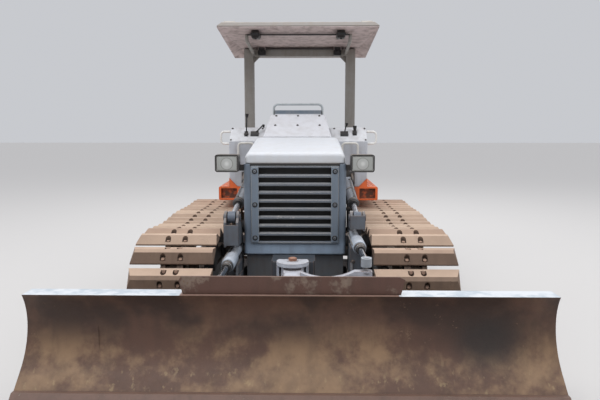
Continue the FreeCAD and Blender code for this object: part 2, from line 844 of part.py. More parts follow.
def cowl():
    """The narrower, steeper cover behind the hood, ending in the dash box that faces the operator."""
    outer = arch_loft((cowl_front_y, cowl_front_half_width, cowl_bottom_z, cowl_front_z, cowl_edge),
                      (cowl_rear_y, cowl_rear_half_width, cowl_bottom_z, cowl_rear_z, cowl_edge))
    wall = hood_wall
    inner = arch_loft((cowl_front_y + wall, cowl_front_half_width - wall, cowl_bottom_z - 1, cowl_front_z - wall,
                       cowl_edge - wall),
                      (cowl_rear_y + 1, cowl_rear_half_width - wall, cowl_bottom_z - 1, cowl_rear_z - wall,
                       cowl_edge - wall))
    dash = side_plate([(cowl_rear_y - 6, dash_bottom_z), (cowl_rear_y - 6, dash_top_z),
                       (cowl_rear_y + dash_depth * 0.55, dash_top_z), (cowl_rear_y + dash_depth, dash_top_z - 60),
                       (cowl_rear_y + dash_depth * 0.4, dash_bottom_z)], -dash_half_width, dash_half_width)
    return fuse(outer.cut(inner), dash)


parts["cowl"] = cowl()


def ear_plate(y, z, radius, back_y, back_low, back_high, x0, x1):
    """A lug seen from the side: a round eye that widens to a flat seat."""
    plate_ = side_plate([(back_y, back_low), (y - radius * 0.2, z - radius * 0.97), (y - radius * 0.2, z + radius * 0.97),
                         (back_y, back_high)], x0, x1)
    return fuse(plate_, bar_x(x0, x1, y, z, radius))


def firewall():
    """The cross wall behind the engine, with the four ears and two pins that hold the lift cylinders."""
    half = firewall_half_width
    narrow = panel_half_width - panel_plate - 1
    ear_top = lift_base_z + 70
    wall = face_plate([(-narrow, frame_top_z + running_gap), (narrow, frame_top_z + running_gap), (narrow, 780),
                       (half, 840), (half, ear_top), (narrow, ear_top + 30), (narrow, firewall_top_z),
                       (-narrow, firewall_top_z), (-narrow, ear_top + 30), (-half, ear_top), (-half, 840),
                       (-narrow, 780)], firewall_y, firewall_y + firewall_plate)
    pieces = [wall]
    for side in (-1, 1):
        for x in (cylinder_x - clevis_gap / 2 - ear_thickness, cylinder_x + clevis_gap / 2):
            ends = sorted((side * x, side * (x + ear_thickness)))
            pieces.append(ear_plate(lift_base_y, lift_base_z, eye_radius + 4, firewall_y + 2, lift_base_z - 90,
                                    lift_base_z + 60, *ends))
        reach = clevis_gap / 2 + ear_thickness + 6
        ends = sorted((side * (cylinder_x - reach), side * (cylinder_x + reach)))
        pieces.append(bar_x(*ends, lift_base_y, lift_base_z, eye_radius * 0.45))
    return fuse(*pieces)


parts["firewall"] = firewall()


def side_panels():
    """Engine side covers, each with a row of slots."""
    x0, x1 = panel_half_width - panel_plate, panel_half_width
    rear = firewall_y - running_gap
    front = guard_rear_y + running_gap
    panel = box(x0, x1, front, rear, panel_low_z, hood_bottom_z - running_gap)
    slots = []
    for index in range(vent_count):
        z = panel_low_z + 170 + index * 45
        slots.append(box(x0 - 1, x1 + 1, front + 90, front + 330, z, z + 18))
    foot = box(frame_half_width - 24, x0 + 2, front, front + 60, frame_top_z + running_gap, panel_low_z + 40)
    return both(fuse(panel.cut(Part.makeCompound(slots)), foot))


parts["side_panels"] = side_panels()


def deck():
    """Floor tray between the steps, on two channels that stand on the rear case."""
    edge = sill_inner_x - running_gap
    floor = box(-edge, edge, sill_front_y, deck_rear_y, deck_floor_z - deck_plate, deck_floor_z)
    channels = [box(x, x + 60, rear_case_front_y + 10, deck_rear_y, rear_case_top_z + running_gap,
                    deck_floor_z - deck_plate + 1) for x in (-260, 200)]
    sides = [box(x, x + deck_plate, sill_front_y, deck_rear_y, deck_floor_z - 6, sill_high_z)
             for x in (-edge, edge - deck_plate)]
    front_foot = [box(x, x + 40, firewall_y + firewall_plate + running_gap, firewall_y + 80, frame_top_z + running_gap,
                      deck_floor_z - deck_plate + 1) for x in (-frame_half_width + 2, frame_half_width - 42)]
    return fuse(floor, *channels, *sides, *front_foot)


parts["deck_floor"] = deck()


def fender_steps():
    """Step boxes beside the floor with a recess in front, and the gussets that brace the consoles."""
    front, rear = sill_front_y, deck_rear_y
    face = rounded_face([V(sill_inner_x, front, sill_low_z), V(sill_outer_x, front, sill_low_z),
                         V(sill_outer_x, front, sill_high_z), V(sill_inner_x, front, sill_high_z)], [0, 14, 14, 0])
    step = face.extrude(V(0, rear - front, 0))
    recess = box(sill_inner_x + 90, sill_outer_x - 20, front - 1, front + 30, sill_low_z + 16, sill_high_z - 16)
    gusset_rear = console_front_y - running_gap
    gusset = face_plate([(console_outer_x, sill_high_z - 1), (console_outer_x, sill_high_z + gusset_reach),
                         (console_outer_x - gusset_reach, sill_high_z - 1)], front, gusset_rear)
    return both(fuse(step.cut(recess), gusset))


parts["fender_steps"] = fender_steps()


def console():
    """Control box beside the operator: sloped front panel, armrest top, narrow plinth, side handle."""
    profile = [(console_front_y, console_low_z), (console_front_y, console_front_z),
               (console_slope_y, console_top_z), (console_slope_y + 90, console_top_z),
               (console_slope_y + 140, console_rear_z), (console_rear_y, console_rear_z),
               (console_rear_y, console_low_z)]
    body = side_plate(profile, console_inner_x, console_outer_x)
    upright = [edge for edge in body.Edges
               if abs(edge.Vertexes[0].Point.x - edge.Vertexes[-1].Point.x) < 0.1
               and max(vertex.Point.z for vertex in edge.Vertexes) > console_front_z - 10
               and max(vertex.Point.y for vertex in edge.Vertexes) < console_slope_y + 100]
    body = body.makeFillet(12, upright)
    reach, drop, y = 83, 100, console_front_y + 130
    top = console_front_z + 78
    handle = tube([V(console_outer_x - 6, y, top), V(console_outer_x + reach, y, top),
                   V(console_outer_x + reach, y, top - drop), V(console_outer_x - 6, y, top - drop)], handle_radius, 30)
    hoop_x0, hoop_x1, hoop_top = console_inner_x + 96, console_inner_x + 222, console_front_z - 14
    hoop_y = console_front_y - 42
    hoop = tube([V(hoop_x0, console_front_y + 6, hoop_top - 180), V(hoop_x0, hoop_y, hoop_top - 180),
                 V(hoop_x0, hoop_y, hoop_top), V(hoop_x1, hoop_y, hoop_top), V(hoop_x1, hoop_y, hoop_top - 180),
                 V(hoop_x1, console_front_y + 6, hoop_top - 180)], handle_radius, 26)
    return fuse(body, handle, hoop)


parts["console_right"] = console()
parts["console_left"] = mirrored(parts["console_right"])


def lever(x, y, lean, height, boot_half, knob_half, knob_high):
    """A control lever: a low boot on the console's slope, a thin rod and a flat-topped grip."""
    slope = (console_top_z - console_front_z) / (console_slope_y - console_front_y)
    low = console_front_z + slope * (y - console_front_y) + running_gap
    span = 18
    boot = side_plate([(y - span, low - slope * span), (y + span, low + slope * span),
                       (y + span * 0.4, low + slope * span * 0.4 + 24), (y - span * 0.6, low - slope * span * 0.6 + 18)],
                      x - boot_half, x + boot_half)
    foot = V(x, y, low + 8)
    top = V(x + lean, y + 12, low + height)
    grip = Part.makeCone(knob_half * 0.6, knob_half, knob_high, top.sub(V(0, 0, knob_high)), V(0, 0, 1))
    return fuse(boot, bar(foot, top, 5.5), grip)


def levers():
    """The hand levers on the two consoles."""
    # x, y, lean, height, half width of the boot, half width and height of the grip
    rows = [(-431, 590, 6, 172, 15, 15, 30), (-362, 590, 74, 84, 33, 11, 26), (380, 590, 20, 96, 32, 13, 26),
            (466, 600, 2, 66, 17, 17, 50)]
    return group(*[lever(*row) for row in rows])


parts["levers"] = levers()


def dash_rail():
    """Hand rail over the dash, its two legs on the dash box."""
    x = dash_half_width + handle_radius + running_gap
    y = cowl_rear_y + 24
    top = dash_top_z + 49
    foot = dash_top_z - 130
    return tube([V(-x, y, foot), V(-x, y, top), V(x, y, top), V(x, y, foot)], handle_radius, 34)


parts["dash_rail"] = dash_rail()


def seat_base():
    """Sheet pedestal, narrower at the foot."""
    low = deck_floor_z + running_gap
    return side_plate([(seat_front_y + 60, low), (seat_rear_y - 40, low), (seat_rear_y - 10, seat_base_top_z),
                       (seat_front_y + 20, seat_base_top_z)], -190, 190)


parts["seat_base"] = seat_base()
cushion_top_z = seat_base_top_z + running_gap + cushion_height
parts["seat_cushion"] = box(-seat_half_width, seat_half_width, seat_front_y, seat_rear_y - back_thickness / 2,
                            seat_base_top_z + running_gap, cushion_top_z)
back_lean = 40.0
parts["seat_back"] = side_plate([(seat_rear_y - back_thickness / 2 - 20, cushion_top_z + running_gap),
                                 (seat_rear_y + back_thickness / 2 - 20, cushion_top_z + running_gap),
                                 (seat_rear_y + back_thickness / 2 + back_lean - 20, back_top_z),
                                 (seat_rear_y - back_thickness / 2 + back_lean - 20, back_top_z)],
                                -seat_half_width, seat_half_width)


def fuel_tank():
    """Rear tank across the machine, with rounded upper edges and a filler."""
    profile = [V(-tank_half_width, tank_front_y, tank_low_z), V(-tank_half_width, tank_rear_y, tank_low_z),
               V(-tank_half_width, tank_rear_y, tank_high_z), V(-tank_half_width, tank_front_y, tank_high_z)]
    body = rounded_face(profile, [0, tank_edge / 2, tank_edge, tank_edge / 2]).extrude(V(2 * tank_half_width, 0, 0))
    foot = box(-frame_half_width + 60, frame_half_width - 60, tank_front_y + 20, frame_rear_y - 50,
               rear_case_top_z + running_gap, tank_low_z + 1)
    filler_y = (tank_front_y + tank_rear_y) / 2
    filler = bar(V(-260, filler_y, tank_high_z - 2), V(-260, filler_y, tank_high_z + 34), 46)
    return fuse(body, foot, filler)


parts["fuel_tank"] = fuel_tank()


def liner_height(y):
    """Height of the lining's underside at a place along it."""
    share = (y - liner_front_y) / (liner_rear_y - liner_front_y)
    return liner_front_z + share * (liner_rear_z - liner_front_z)


def canopy_frame():
    """Two square posts on foot plates, a cross beam with corner gussets, and two bent light stays."""
    pieces = []
    for side in (-1, 1):
        x0, x1 = sorted((side * (post_x - post_half_width), side * (post_x + post_half_width)))
        foot = sill_high_z + running_gap
        outer = box(x0, x1, post_front_y, post_rear_y, foot, beam_top_z)
        inner = box(x0 + post_wall, x1 - post_wall, post_front_y + post_wall, post_rear_y - post_wall,
                    foot + post_foot_plate, beam_bottom_z)
        pieces.append(outer.cut(inner))
        foot_x = sorted((side * sill_inner_x, side * (sill_outer_x - 40)))
        pieces.append(box(*foot_x, post_front_y - 30, post_rear_y + 20, foot, foot + post_foot_plate))
        inner_x = side * (post_x - post_half_width)
        corner = [(inner_x + side * 4, beam_bottom_z + 4), (inner_x + side * 4, beam_bottom_z - gusset_leg),
                  (inner_x - side * gusset_leg, beam_bottom_z + 4)]
        pieces.append(face_plate(corner, post_front_y + 30, post_front_y + 42))
        stay_x = side * (post_x - post_half_width)
        stay_z = liner_height(roof_front_y + 190) - running_gap
        stay = tube([V(stay_x, post_front_y + 10, beam_bottom_z + 24), V(stay_x, roof_front_y + 190, stay_z - 48),
                     V(stay_x, roof_front_y + 190, stay_z - 1)], stay_radius, 40)
        pieces.append(stay)
    beam = box(-post_x, post_x, post_front_y, post_rear_y, beam_bottom_z, beam_top_z)
    hollow = box(-post_x + post_half_width, post_x - post_half_width, post_front_y + post_wall,
                 post_rear_y - post_wall, beam_bottom_z + post_wall, beam_top_z - post_wall)
    return fuse(beam.cut(hollow), *pieces)


parts["canopy_frame"] = canopy_frame()


def folded_sheet(outer, inner, drop):
    """A sheet folded between two outlines of four corners (front pair, rear pair), thickened along Z."""
    panels = [inner]
    for first, second in ((0, 1), (1, 2), (2, 3), (3, 0)):
        if first in (0, 2):
            panels.append([outer[first], outer[second], inner[second], inner[first]])
        else:
            panels.append([outer[first], outer[second], inner[second]])
            panels.append([outer[first], inner[second], inner[first]])
    return fuse(*[flat(panel, V(0, 0, drop)) for panel in panels])


def four_corners(front, rear):
    """Corners of a symmetric outline, each end given as (half width, y, z)."""
    return [V(-front[0], front[1], front[2]), V(*front), V(*rear), V(-rear[0], rear[1], rear[2])]


def canopy_roof():
    """Roof skin: a top panel with four pressed beads, folded down to a thin rim that falls to the rear."""
    rim = four_corners((roof_half_width, roof_front_y, roof_rim_front_z),
                       (roof_rear_half_width, roof_rear_y, roof_rim_rear_z))
    crown = four_corners((roof_half_width - roof_shoulder, roof_front_y + roof_shoulder, roof_front_top_z),
                         (roof_rear_half_width - roof_shoulder, roof_rear_y - roof_shoulder, roof_rear_top_z))
    skin = folded_sheet(rim, crown, -roof_wall)
    start, end = roof_front_y + roof_shoulder + 4, roof_rear_y - roof_shoulder - 20
    beads = []
    for x, half_width, height in ((-548, 44, bead_height), (-140, 60, bead_height / 2), (140, 60, bead_height / 2),
                                  (548, 44, bead_height)):
        top = roof_front_top_z + height
        fall = (roof_rear_top_z - roof_front_top_z) * (end - start) / (roof_rear_y - roof_front_y)
        beads.append(side_plate([(start, roof_front_top_z - 6), (start + 20, top - 2), (end - 20, top + fall - 2),
                                 (end, roof_front_top_z + fall - 6)], x - half_width, x + half_width))
    return fuse(skin, *beads)


parts["canopy_roof"] = canopy_roof()


def roof_liner():
    """Lining under the roof skin: a lower middle panel, margins folded out to the rim, four black mounts."""
    lift = roof_wall + liner_thickness + running_gap
    rim = four_corners((roof_half_width, roof_front_y, roof_rim_front_z - lift),
                       (roof_rear_half_width, roof_rear_y, roof_rim_rear_z - lift))
    panel = four_corners((liner_half_width, liner_front_y, liner_front_z),
                         (liner_rear_half_width, liner_rear_y, liner_rear_z))
    lining = folded_sheet(rim, panel, liner_thickness)
    pads = [box(x, x + 80, post_front_y + 10, post_rear_y - 10, beam_top_z + running_gap,
                liner_height(post_rear_y) + 3) for x in (-420, -180, 100, 340)]
    mounts = []
    for x in (-clamp_x, clamp_x):
        for y in (liner_front_y + 14, post_front_y - 52):
            z = liner_height(y)
            mounts.append(box(x - 34, x + 34, y, y + 46, z - 34, z + 2))
    return fuse(lining, *pads, *mounts)


parts["roof_liner"] = roof_liner()


def headlights():
    """Square work lamps beside the guard's top, each on a bracket from the guard's side."""
    face = rounded_face([V(lamp_x - lamp_half_width, lamp_rear_y, lamp_low_z),
                         V(lamp_x + lamp_half_width, lamp_rear_y, lamp_low_z),
                         V(lamp_x + lamp_half_width, lamp_rear_y, lamp_high_z),
                         V(lamp_x - lamp_half_width, lamp_rear_y, lamp_high_z)], [16] * 4)
    shell = face.extrude(V(0, lamp_front_y - lamp_rear_y, 0))
    dish = box(lamp_x - lamp_half_width + lamp_rim, lamp_x + lamp_half_width - lamp_rim, lamp_front_y - 1,
               lamp_front_y + 16, lamp_low_z + lamp_rim, lamp_high_z - lamp_rim)
    inner = guard_half_width + running_gap
    arm = box(inner, lamp_x - lamp_half_width + 2, guard_front_y + 20, lamp_rear_y, lamp_low_z + 4, lamp_low_z + 44)
    return both(fuse(shell.cut(dish), arm))


parts["headlights"] = headlights()


def across(along, near):
    """The direction square to a run that lies closest to a given one."""
    along = V(along).normalize()
    return near.sub(V(along).multiply(along.dot(near))).normalize()


def ram_barrel(base, eye, pin_axis, radius, length, rod_radius, eye_r, eye_w, pin_radius):
    """A cylinder's barrel: an eye on its base pin, a tube and a gland ring, bored for its rod."""
    along = eye.sub(base).normalize()
    shoulder = eye_r + 14
    neck = bar(base.add(V(along).multiply(eye_r * 0.5)), base.add(V(along).multiply(shoulder + 2)), eye_w * 0.45)
    tube_ = bar(base.add(V(along).multiply(shoulder)), base.add(V(along).multiply(length)), radius - 2)
    gland = bar(base.add(V(along).multiply(length - 46)), base.add(V(along).multiply(length)), radius)
    half = V(pin_axis).multiply(eye_w / 2)
    eye_ = bar(base.sub(half), base.add(half), eye_r)
    bore = bar(base.add(V(along).multiply(shoulder + 8)), base.add(V(along).multiply(length + 1)),
               rod_radius + running_gap)
    pin = bar(base.sub(V(half).multiply(2)), base.add(V(half).multiply(2)), pin_radius + running_gap)
    return fuse(neck, tube_, gland, eye_).cut(bore).cut(pin)


def ram_rod(base, eye, pin_axis, radius, length, eye_r, eye_w, stub, pin_radius):
    """A cylinder's rod with the eye on its end and the pin that goes through it."""
    along = eye.sub(base).normalize()
    rod = bar(eye.sub(V(along).multiply(length)), eye.sub(V(along).multiply(eye_r * 0.5)), radius)
    half = V(pin_axis).multiply(eye_w / 2)
    eye_ = bar(eye.sub(half), eye.add(half), eye_r)
    reach = V(pin_axis).multiply(eye_w / 2 + stub)
    return fuse(rod, eye_, bar(eye.sub(reach), eye.add(reach), pin_radius))


lift_pin = eye_radius * 0.45
lift_base = V(cylinder_x, lift_base_y, lift_base_z)
lift_eye = V(cylinder_x, lift_eye_y, lift_eye_z)
parts["lift_barrel_right"] = ram_barrel(lift_base, lift_eye, V(1, 0, 0), lift_barrel_radius, lift_barrel_length,
                                        lift_rod_radius, eye_radius, eye_width, lift_pin)
parts["lift_rod_right"] = ram_rod(lift_base, lift_eye, V(1, 0, 0), lift_rod_radius, lift_rod_length, eye_radius,
                                  eye_width, (clevis_gap - eye_width) / 2 - 1.5, lift_pin)
parts["lift_barrel_left"] = mirrored(parts["lift_barrel_right"])
parts["lift_rod_left"] = mirrored(parts["lift_rod_right"])

angle_places = {}
for side, sign in (("left", -1), ("right", 1)):
    base_height, eye_height = angle_heights[side]
    angle_base = V(sign * angle_base_x, angle_base_y, base_height)
    angle_eye = V(sign * angle_eye_x, angle_eye_y, eye_height)
    pin_axis = across(angle_eye.sub(angle_base), V(0, 0, 1))
    angle_places[side] = (angle_base, angle_eye, pin_axis)
    parts["angle_barrel_" + side] = ram_barrel(angle_base, angle_eye, pin_axis, angle_barrel_radius,
                                               angle_barrel_length, angle_rod_radius, angle_eye_radius, eye_width,
                                               lift_pin)
    parts["angle_rod_" + side] = ram_rod(angle_base, angle_eye, pin_axis, angle_rod_radius, angle_rod_length,
                                         angle_eye_radius, eye_width, angle_pin_stub, lift_pin)

tilt_base = V(tilt_base_x, tilt_cylinder_y, tilt_base_z)
tilt_eye = V(tilt_eye_x, tilt_cylinder_y, tilt_eye_z)
tilt_pin = tilt_eye_radius * 0.5
parts["tilt_barrel"] = ram_barrel(tilt_base, tilt_eye, V(0, 1, 0), tilt_barrel_radius, tilt_barrel_length,
                                  tilt_rod_radius, tilt_eye_radius, tilt_eye_width, tilt_pin)
parts["tilt_rod"] = ram_rod(tilt_base, tilt_eye, V(0, 1, 0), tilt_rod_radius, tilt_rod_length, tilt_eye_radius,
                            tilt_eye_width, (tilt_clevis_gap - tilt_eye_width) / 2 - 1.5, tilt_pin)


def push_arm(side):
    """One arm of the C-frame: bored eye, tapered beam, and the tall bracket for two cylinders."""
    sign = {"left": -1, "right": 1}[side]
    base, eye, pin_axis = angle_places[side]
    ends = sorted((sign * arm_inner_x, sign * arm_outer_x))
    low = lift_pivot_z - arm_rear_height / 2
    beam = side_plate([(lift_pivot_y, low), (arm_front_y, low + 16), (arm_front_y, arm_front_top_z),
                       (bracket_rear_y + 60, arm_front_top_z - 20),
                       (lift_pivot_y - 180, lift_pivot_z + arm_rear_height / 2),
                       (lift_pivot_y, lift_pivot_z + arm_rear_height / 2)], *ends)
    pieces = [beam, bar_x(*ends, lift_pivot_y, lift_pivot_z, arm_eye_radius)]
    top = lift_eye_z + 4
    window_low = base.z - angle_barrel_radius - 34
    window_high = base.z + angle_barrel_radius + 12
    rear = bracket_rear_y
    front = bracket_front_y
    for x in (cylinder_x - clevis_gap / 2 - ear_thickness, cylinder_x + clevis_gap / 2):
        plate_x = sorted((sign * x, sign * (x + ear_thickness)))
        wall = side_plate([(front - 60, arm_front_top_z - 30), (front, arm_front_top_z + 90), (front, top - 30),
                           (lift_eye_y - 38, top), (lift_eye_y + 38, top), (rear, window_high + 10),
                           (rear, arm_front_top_z - 40)], *plate_x)
        wall = fuse(wall, bar_x(*plate_x, lift_eye_y, lift_eye_z, eye_radius + 2))
        opening = box(*plate_x, front - 80, base.y - 52, window_low, window_high)
        slot = box(*plate_x, base.y - 53, base.y + 46, base.z - eye_width / 2 - 14, base.z + eye_width / 2 + 14)
        pieces.append(wall.cut(opening).cut(slot))
        head_x = sorted((sign * (x + (ear_thickness if x > cylinder_x else -7)),
                         sign * (x + (ear_thickness + 7 if x > cylinder_x else 0))))
        pieces.append(bar_x(*head_x, lift_eye_y, lift_eye_z, lift_pin + 6))
    plates_x = sorted((sign * (cylinder_x - clevis_gap / 2 - ear_thickness),
                       sign * (cylinder_x + clevis_gap / 2 + ear_thickness)))
    lower_shelf = base.z - eye_width / 2 - 3
    upper_shelf = base.z + eye_width / 2 + 3
    pieces.append(box(*plates_x, base.y - 38, rear, lower_shelf - 16, lower_shelf))
    pieces.append(box(*plates_x, base.y - 38, rear, upper_shelf, upper_shelf + 16))
    pieces.append(box(*plates_x, rear - 12, rear, arm_front_top_z - 40, upper_shelf + 16))
    pieces.append(box(*plates_x, front - 2, front + 12, arm_front_top_z - 20, window_low))
    pieces.append(box(*plates_x, front - 2, front + 12, window_high + 10, bracket_face_top[side]))
    pin_reach = V(pin_axis).multiply(eye_width / 2 + 14)
    pieces.append(bar(base.sub(pin_reach), base.add(pin_reach), lift_pin))
    result = fuse(*pieces)
    bore = sorted((sign * (arm_inner_x - 1), sign * (arm_outer_x + 1)))
    return result.cut(bar_x(*bore, lift_pivot_y, lift_pivot_z, lift_pin_radius + running_gap))


for side in ("left", "right"):
    parts["push_arm_" + side] = push_arm(side)


def c_frame_nose():
    """Cross beam between the arms and the fork that holds the blade's vertical pin under a half-round cap."""
    inner = arm_inner_x - running_gap
    rear, front = arm_front_y + 10, arm_front_y - 70
    web_front = angle_pivot_y + yoke_hub_radius + 14
    cap_z, low = hub_top_z + clear_gap, hub_low_z - clear_gap
    beam = top_plate([(-inner, rear), (inner, rear), (inner, front), (130, web_front), (-130, web_front),
                      (-inner, front)], arm_front_top_z - 160, arm_front_top_z - 4)
    web = box(-120, 120, web_front, rear, low - nose_plate, cap_z - 4)
    pieces = [beam, web]
    fork = rounded_face([V(-nose_plate_half_width, web_front + 60, 0), V(-70, angle_pivot_y - 72, 0),
                         V(70, angle_pivot_y - 72, 0), V(nose_plate_half_width, web_front + 60, 0)], [0, 46, 46, 0])
    pieces.append(fork.translated(V(0, 0, low - nose_plate)).extrude(V(0, 0, nose_plate)))
    moon = bar(V(0, angle_pivot_y, cap_z), V(0, angle_pivot_y, cap_z + moon_plate), moon_radius)
    moon = moon.cut(box(-moon_radius - 1, moon_radius + 1, moon_flat_y, angle_pivot_y + moon_radius + 1,
                        cap_z - 1, cap_z + moon_plate + 1))
    pieces.append(moon)
    for side in (-1, 1):
        cheek_x = sorted((side * (yoke_hub_radius + clear_gap), side * (yoke_hub_radius + clear_gap + cheek_plate)))
        pieces.append(side_plate([(angle_pivot_y - 30, cap_z + 2), (web_front + 10, cap_z + 2),
                                  (web_front + 10, arm_front_top_z), (angle_pivot_y - 20, cap_z - 90)], *cheek_x))
    tie_x = yoke_hub_radius + clear_gap + 2
    pieces.append(box(-tie_x, tie_x, moon_flat_y - 2, web_front + 10, cap_z, cap_z + 10))
    pieces.append(bar(V(0, angle_pivot_y, low - nose_plate - 10), V(0, angle_pivot_y, cap_z + moon_plate + 2),
                      angle_pin_radius))
    pieces.append(Part.makeCylinder(20, 18, V(0, angle_pivot_y, cap_z + moon_plate)))
    for side in (-1, 1):
        side_x = sorted((side * 100, side * 130))
        pieces.append(box(*side_x, web_front + 30, rear, low - nose_plate, cap_z - 4))
    return fuse(*pieces)


parts["c_frame_nose"] = c_frame_nose()


def angle_yoke():
    """The turning piece between C-frame and blade: hub, two curved arms, tilt boss, tilt cylinder lug."""
    hub = bar(V(0, angle_pivot_y, hub_low_z), V(0, angle_pivot_y, hub_top_z), yoke_hub_radius)
    pieces = [hub]
    body_front = tilt_boss_rear_y - 20
    saddle_z = tilt_base.z - 48
    pieces.append(side_plate([(angle_pivot_y - 20, hub_low_z), (angle_pivot_y - 20, hub_top_z),
                              (yoke_arm_front_y, hub_top_z - 20), (yoke_arm_front_y, saddle_z),
                              (tilt_cylinder_y - 40, saddle_z), (body_front, tilt_pivot_z + tilt_boss_radius - 6),
                              (body_front, tilt_pivot_z - tilt_boss_radius + 6), (yoke_arm_rear_y, hub_low_z)],
                             -50, 50))
    pieces.append(bar(V(0, tilt_boss_front_y, tilt_pivot_z), V(0, tilt_boss_rear_y, tilt_pivot_z), tilt_boss_radius))
    for side in ("left", "right"):
        sign = {"left": -1, "right": 1}[side]
        eye = angle_places[side][1]
        seat = eye.z - eye_width / 2 - 24
        waist = seat - 34
        end = yoke_arm_end_x
        # the upper edge dips between the hub and the raised end
        upper = Part.Arc(V(sign * 48, yoke_arm_front_y, hub_top_z), V(sign * 190, yoke_arm_front_y, waist - 6),
                         V(sign * (end - 96), yoke_arm_front_y, seat)).toShape()
        corners = [V(sign * (end - 96), yoke_arm_front_y, seat), V(sign * end, yoke_arm_front_y, seat),
                   V(sign * end, yoke_arm_front_y, seat - 60), V(sign * (end - 60), yoke_arm_front_y, seat - 118),
                   V(sign * 48, yoke_arm_front_y, hub_low_z + 100), V(sign * 48, yoke_arm_front_y, hub_top_z)]
        edges = [upper] + [Part.makeLine(a, b) for a, b in zip(corners, corners[1:])]
        pieces.append(Part.Face(Part.Wire(edges)).extrude(V(0, yoke_arm_rear_y - yoke_arm_front_y, 0)))
        pieces.append(Part.makeCylinder(angle_eye_radius, 12, V(sign * angle_eye_x, angle_eye_y, seat - 10)))
    gap = tilt_clevis_gap / 2
    lug_x = (tilt_base.x - 34, tilt_base.x + 34)
    for y in (tilt_cylinder_y - gap - 14, tilt_cylinder_y + gap):
        plate_ = face_plate([(lug_x[0], tilt_base.z - 66), (lug_x[1], tilt_base.z - 66),
                             (lug_x[1] - 6, tilt_base.z + 24), (lug_x[0] + 6, tilt_base.z + 24)], y, y + 14)
        pieces.append(plate_)
    pieces.append(box(*lug_x, tilt_cylinder_y - gap - 14, yoke_arm_front_y + 2, tilt_base.z - 66, tilt_base.z - 50))
    pieces.append(box(*lug_x, tilt_cylinder_y + gap, yoke_arm_front_y + 2, tilt_base.z - 66, tilt_base.z + 10))
    pieces.append(bar(V(tilt_base.x, tilt_cylinder_y - gap - 18, tilt_base.z),
                      V(tilt_base.x, tilt_cylinder_y + gap + 10, tilt_base.z), tilt_pin))
    result = fuse(*pieces)
    pin_bore = bar(V(0, angle_pivot_y, hub_low_z - 1), V(0, angle_pivot_y, hub_top_z + 1),
                   angle_pin_radius + running_gap)
    tilt_bore = bar(V(0, tilt_boss_front_y - 1, tilt_pivot_z), V(0, tilt_boss_rear_y - 20, tilt_pivot_z),
                    tilt_pin_radius + running_gap)
    return result.cut(pin_bore).cut(tilt_bore)


parts["angle_yoke"] = angle_yoke()

# Blade profile: an arc that ends in a straight foot, with the cutting edge laid on the foot
foot_turn = math.radians(blade_arc_end)
foot_end_z = blade_arc_z - blade_arc_radius * math.sin(foot_turn)
foot_run = foot_end_z * math.tan(foot_turn)
blade_centre_y = (-half_length + edge_plate / math.cos(foot_turn) + foot_run
                  - blade_arc_radius * math.cos(foot_turn))
lip_turn = math.asin((blade_lip_z - blade_arc_z) / blade_arc_radius)
blade_lip_y = blade_centre_y + blade_arc_radius * math.cos(lip_turn)
foot_start_y = blade_centre_y + blade_arc_radius * math.cos(foot_turn)


def on_arc(radius, turn):
    """A point of the blade's curve, by its angle over level."""
    return V(0, blade_centre_y + radius * math.cos(turn), blade_arc_z + radius * math.sin(turn))


def foot_point(z, offset):
    """A point of the straight foot at a height, moved rearward square to it."""
    y = foot_start_y - (foot_end_z - z) * math.tan(foot_turn)
    return V(0, y + offset / math.cos(foot_turn), z)


def curve_space(offset):
    """Everything ahead of the blade's curve, moved rearward by an offset: used to trim what meets it."""
    radius = blade_arc_radius + offset
    high = on_arc(radius, lip_turn)
    bend = on_arc(radius, -foot_turn)
    drop = (bend.z + 60) * math.tan(foot_turn)
    low = V(0, bend.y - drop, -60)
    edges = [Part.Arc(high, on_arc(radius, 0), bend).toShape(), Part.makeLine(bend, low),
             Part.makeLine(low, V(0, -half_length - 200, -60)),
             Part.makeLine(V(0, -half_length - 200, -60), V(0, -half_length - 200, high.z)),
             Part.makeLine(V(0, -half_length - 200, high.z), high)]
    half = blade_foot_half_width + 10
    return Part.Face(Part.Wire(edges)).translated(V(-half, 0, 0)).extrude(V(2 * half, 0, 0))


def blade_ends():
    """The blade seen from the front: a little wider at its foot."""
    return face_plate([(-blade_foot_half_width, -1), (blade_foot_half_width, -1),
                       (blade_top_half_width, blade_lip_z + 1), (-blade_top_half_width, blade_lip_z + 1)],
                      -half_length - 1, -1000)


def moldboard():
    """The curved plate with its flat top flange."""
    slab = box(-blade_foot_half_width, blade_foot_half_width, -half_length, blade_lip_y + flange_depth, 70,
               blade_lip_z)
    sheet = slab.cut(curve_space(0)).common(curve_space(blade_plate))
    flange = box(-blade_foot_half_width, blade_foot_half_width, blade_lip_y, blade_lip_y + flange_depth,
                 blade_lip_z - blade_plate, blade_lip_z)
    return fuse(sheet, flange.cut(curve_space(0))).common(blade_ends())


parts["moldboard"] = moldboard()


def cutting_edge():
    """The straight hard edge bolted on the blade's foot, in a middle bar and two end bits."""
    outline = [foot_point(0, -edge_plate), foot_point(blade_seam_z, -edge_plate),
               foot_point(blade_seam_z, -running_gap), foot_point(0, -running_gap)]
    half = blade_foot_half_width
    bar_ = flat([point.add(V(-half, 0, 0)) for point in outline], V(2 * half, 0, 0))
    return bar_.common(blade_ends())


parts["cutting_edge"] = cutting_edge()


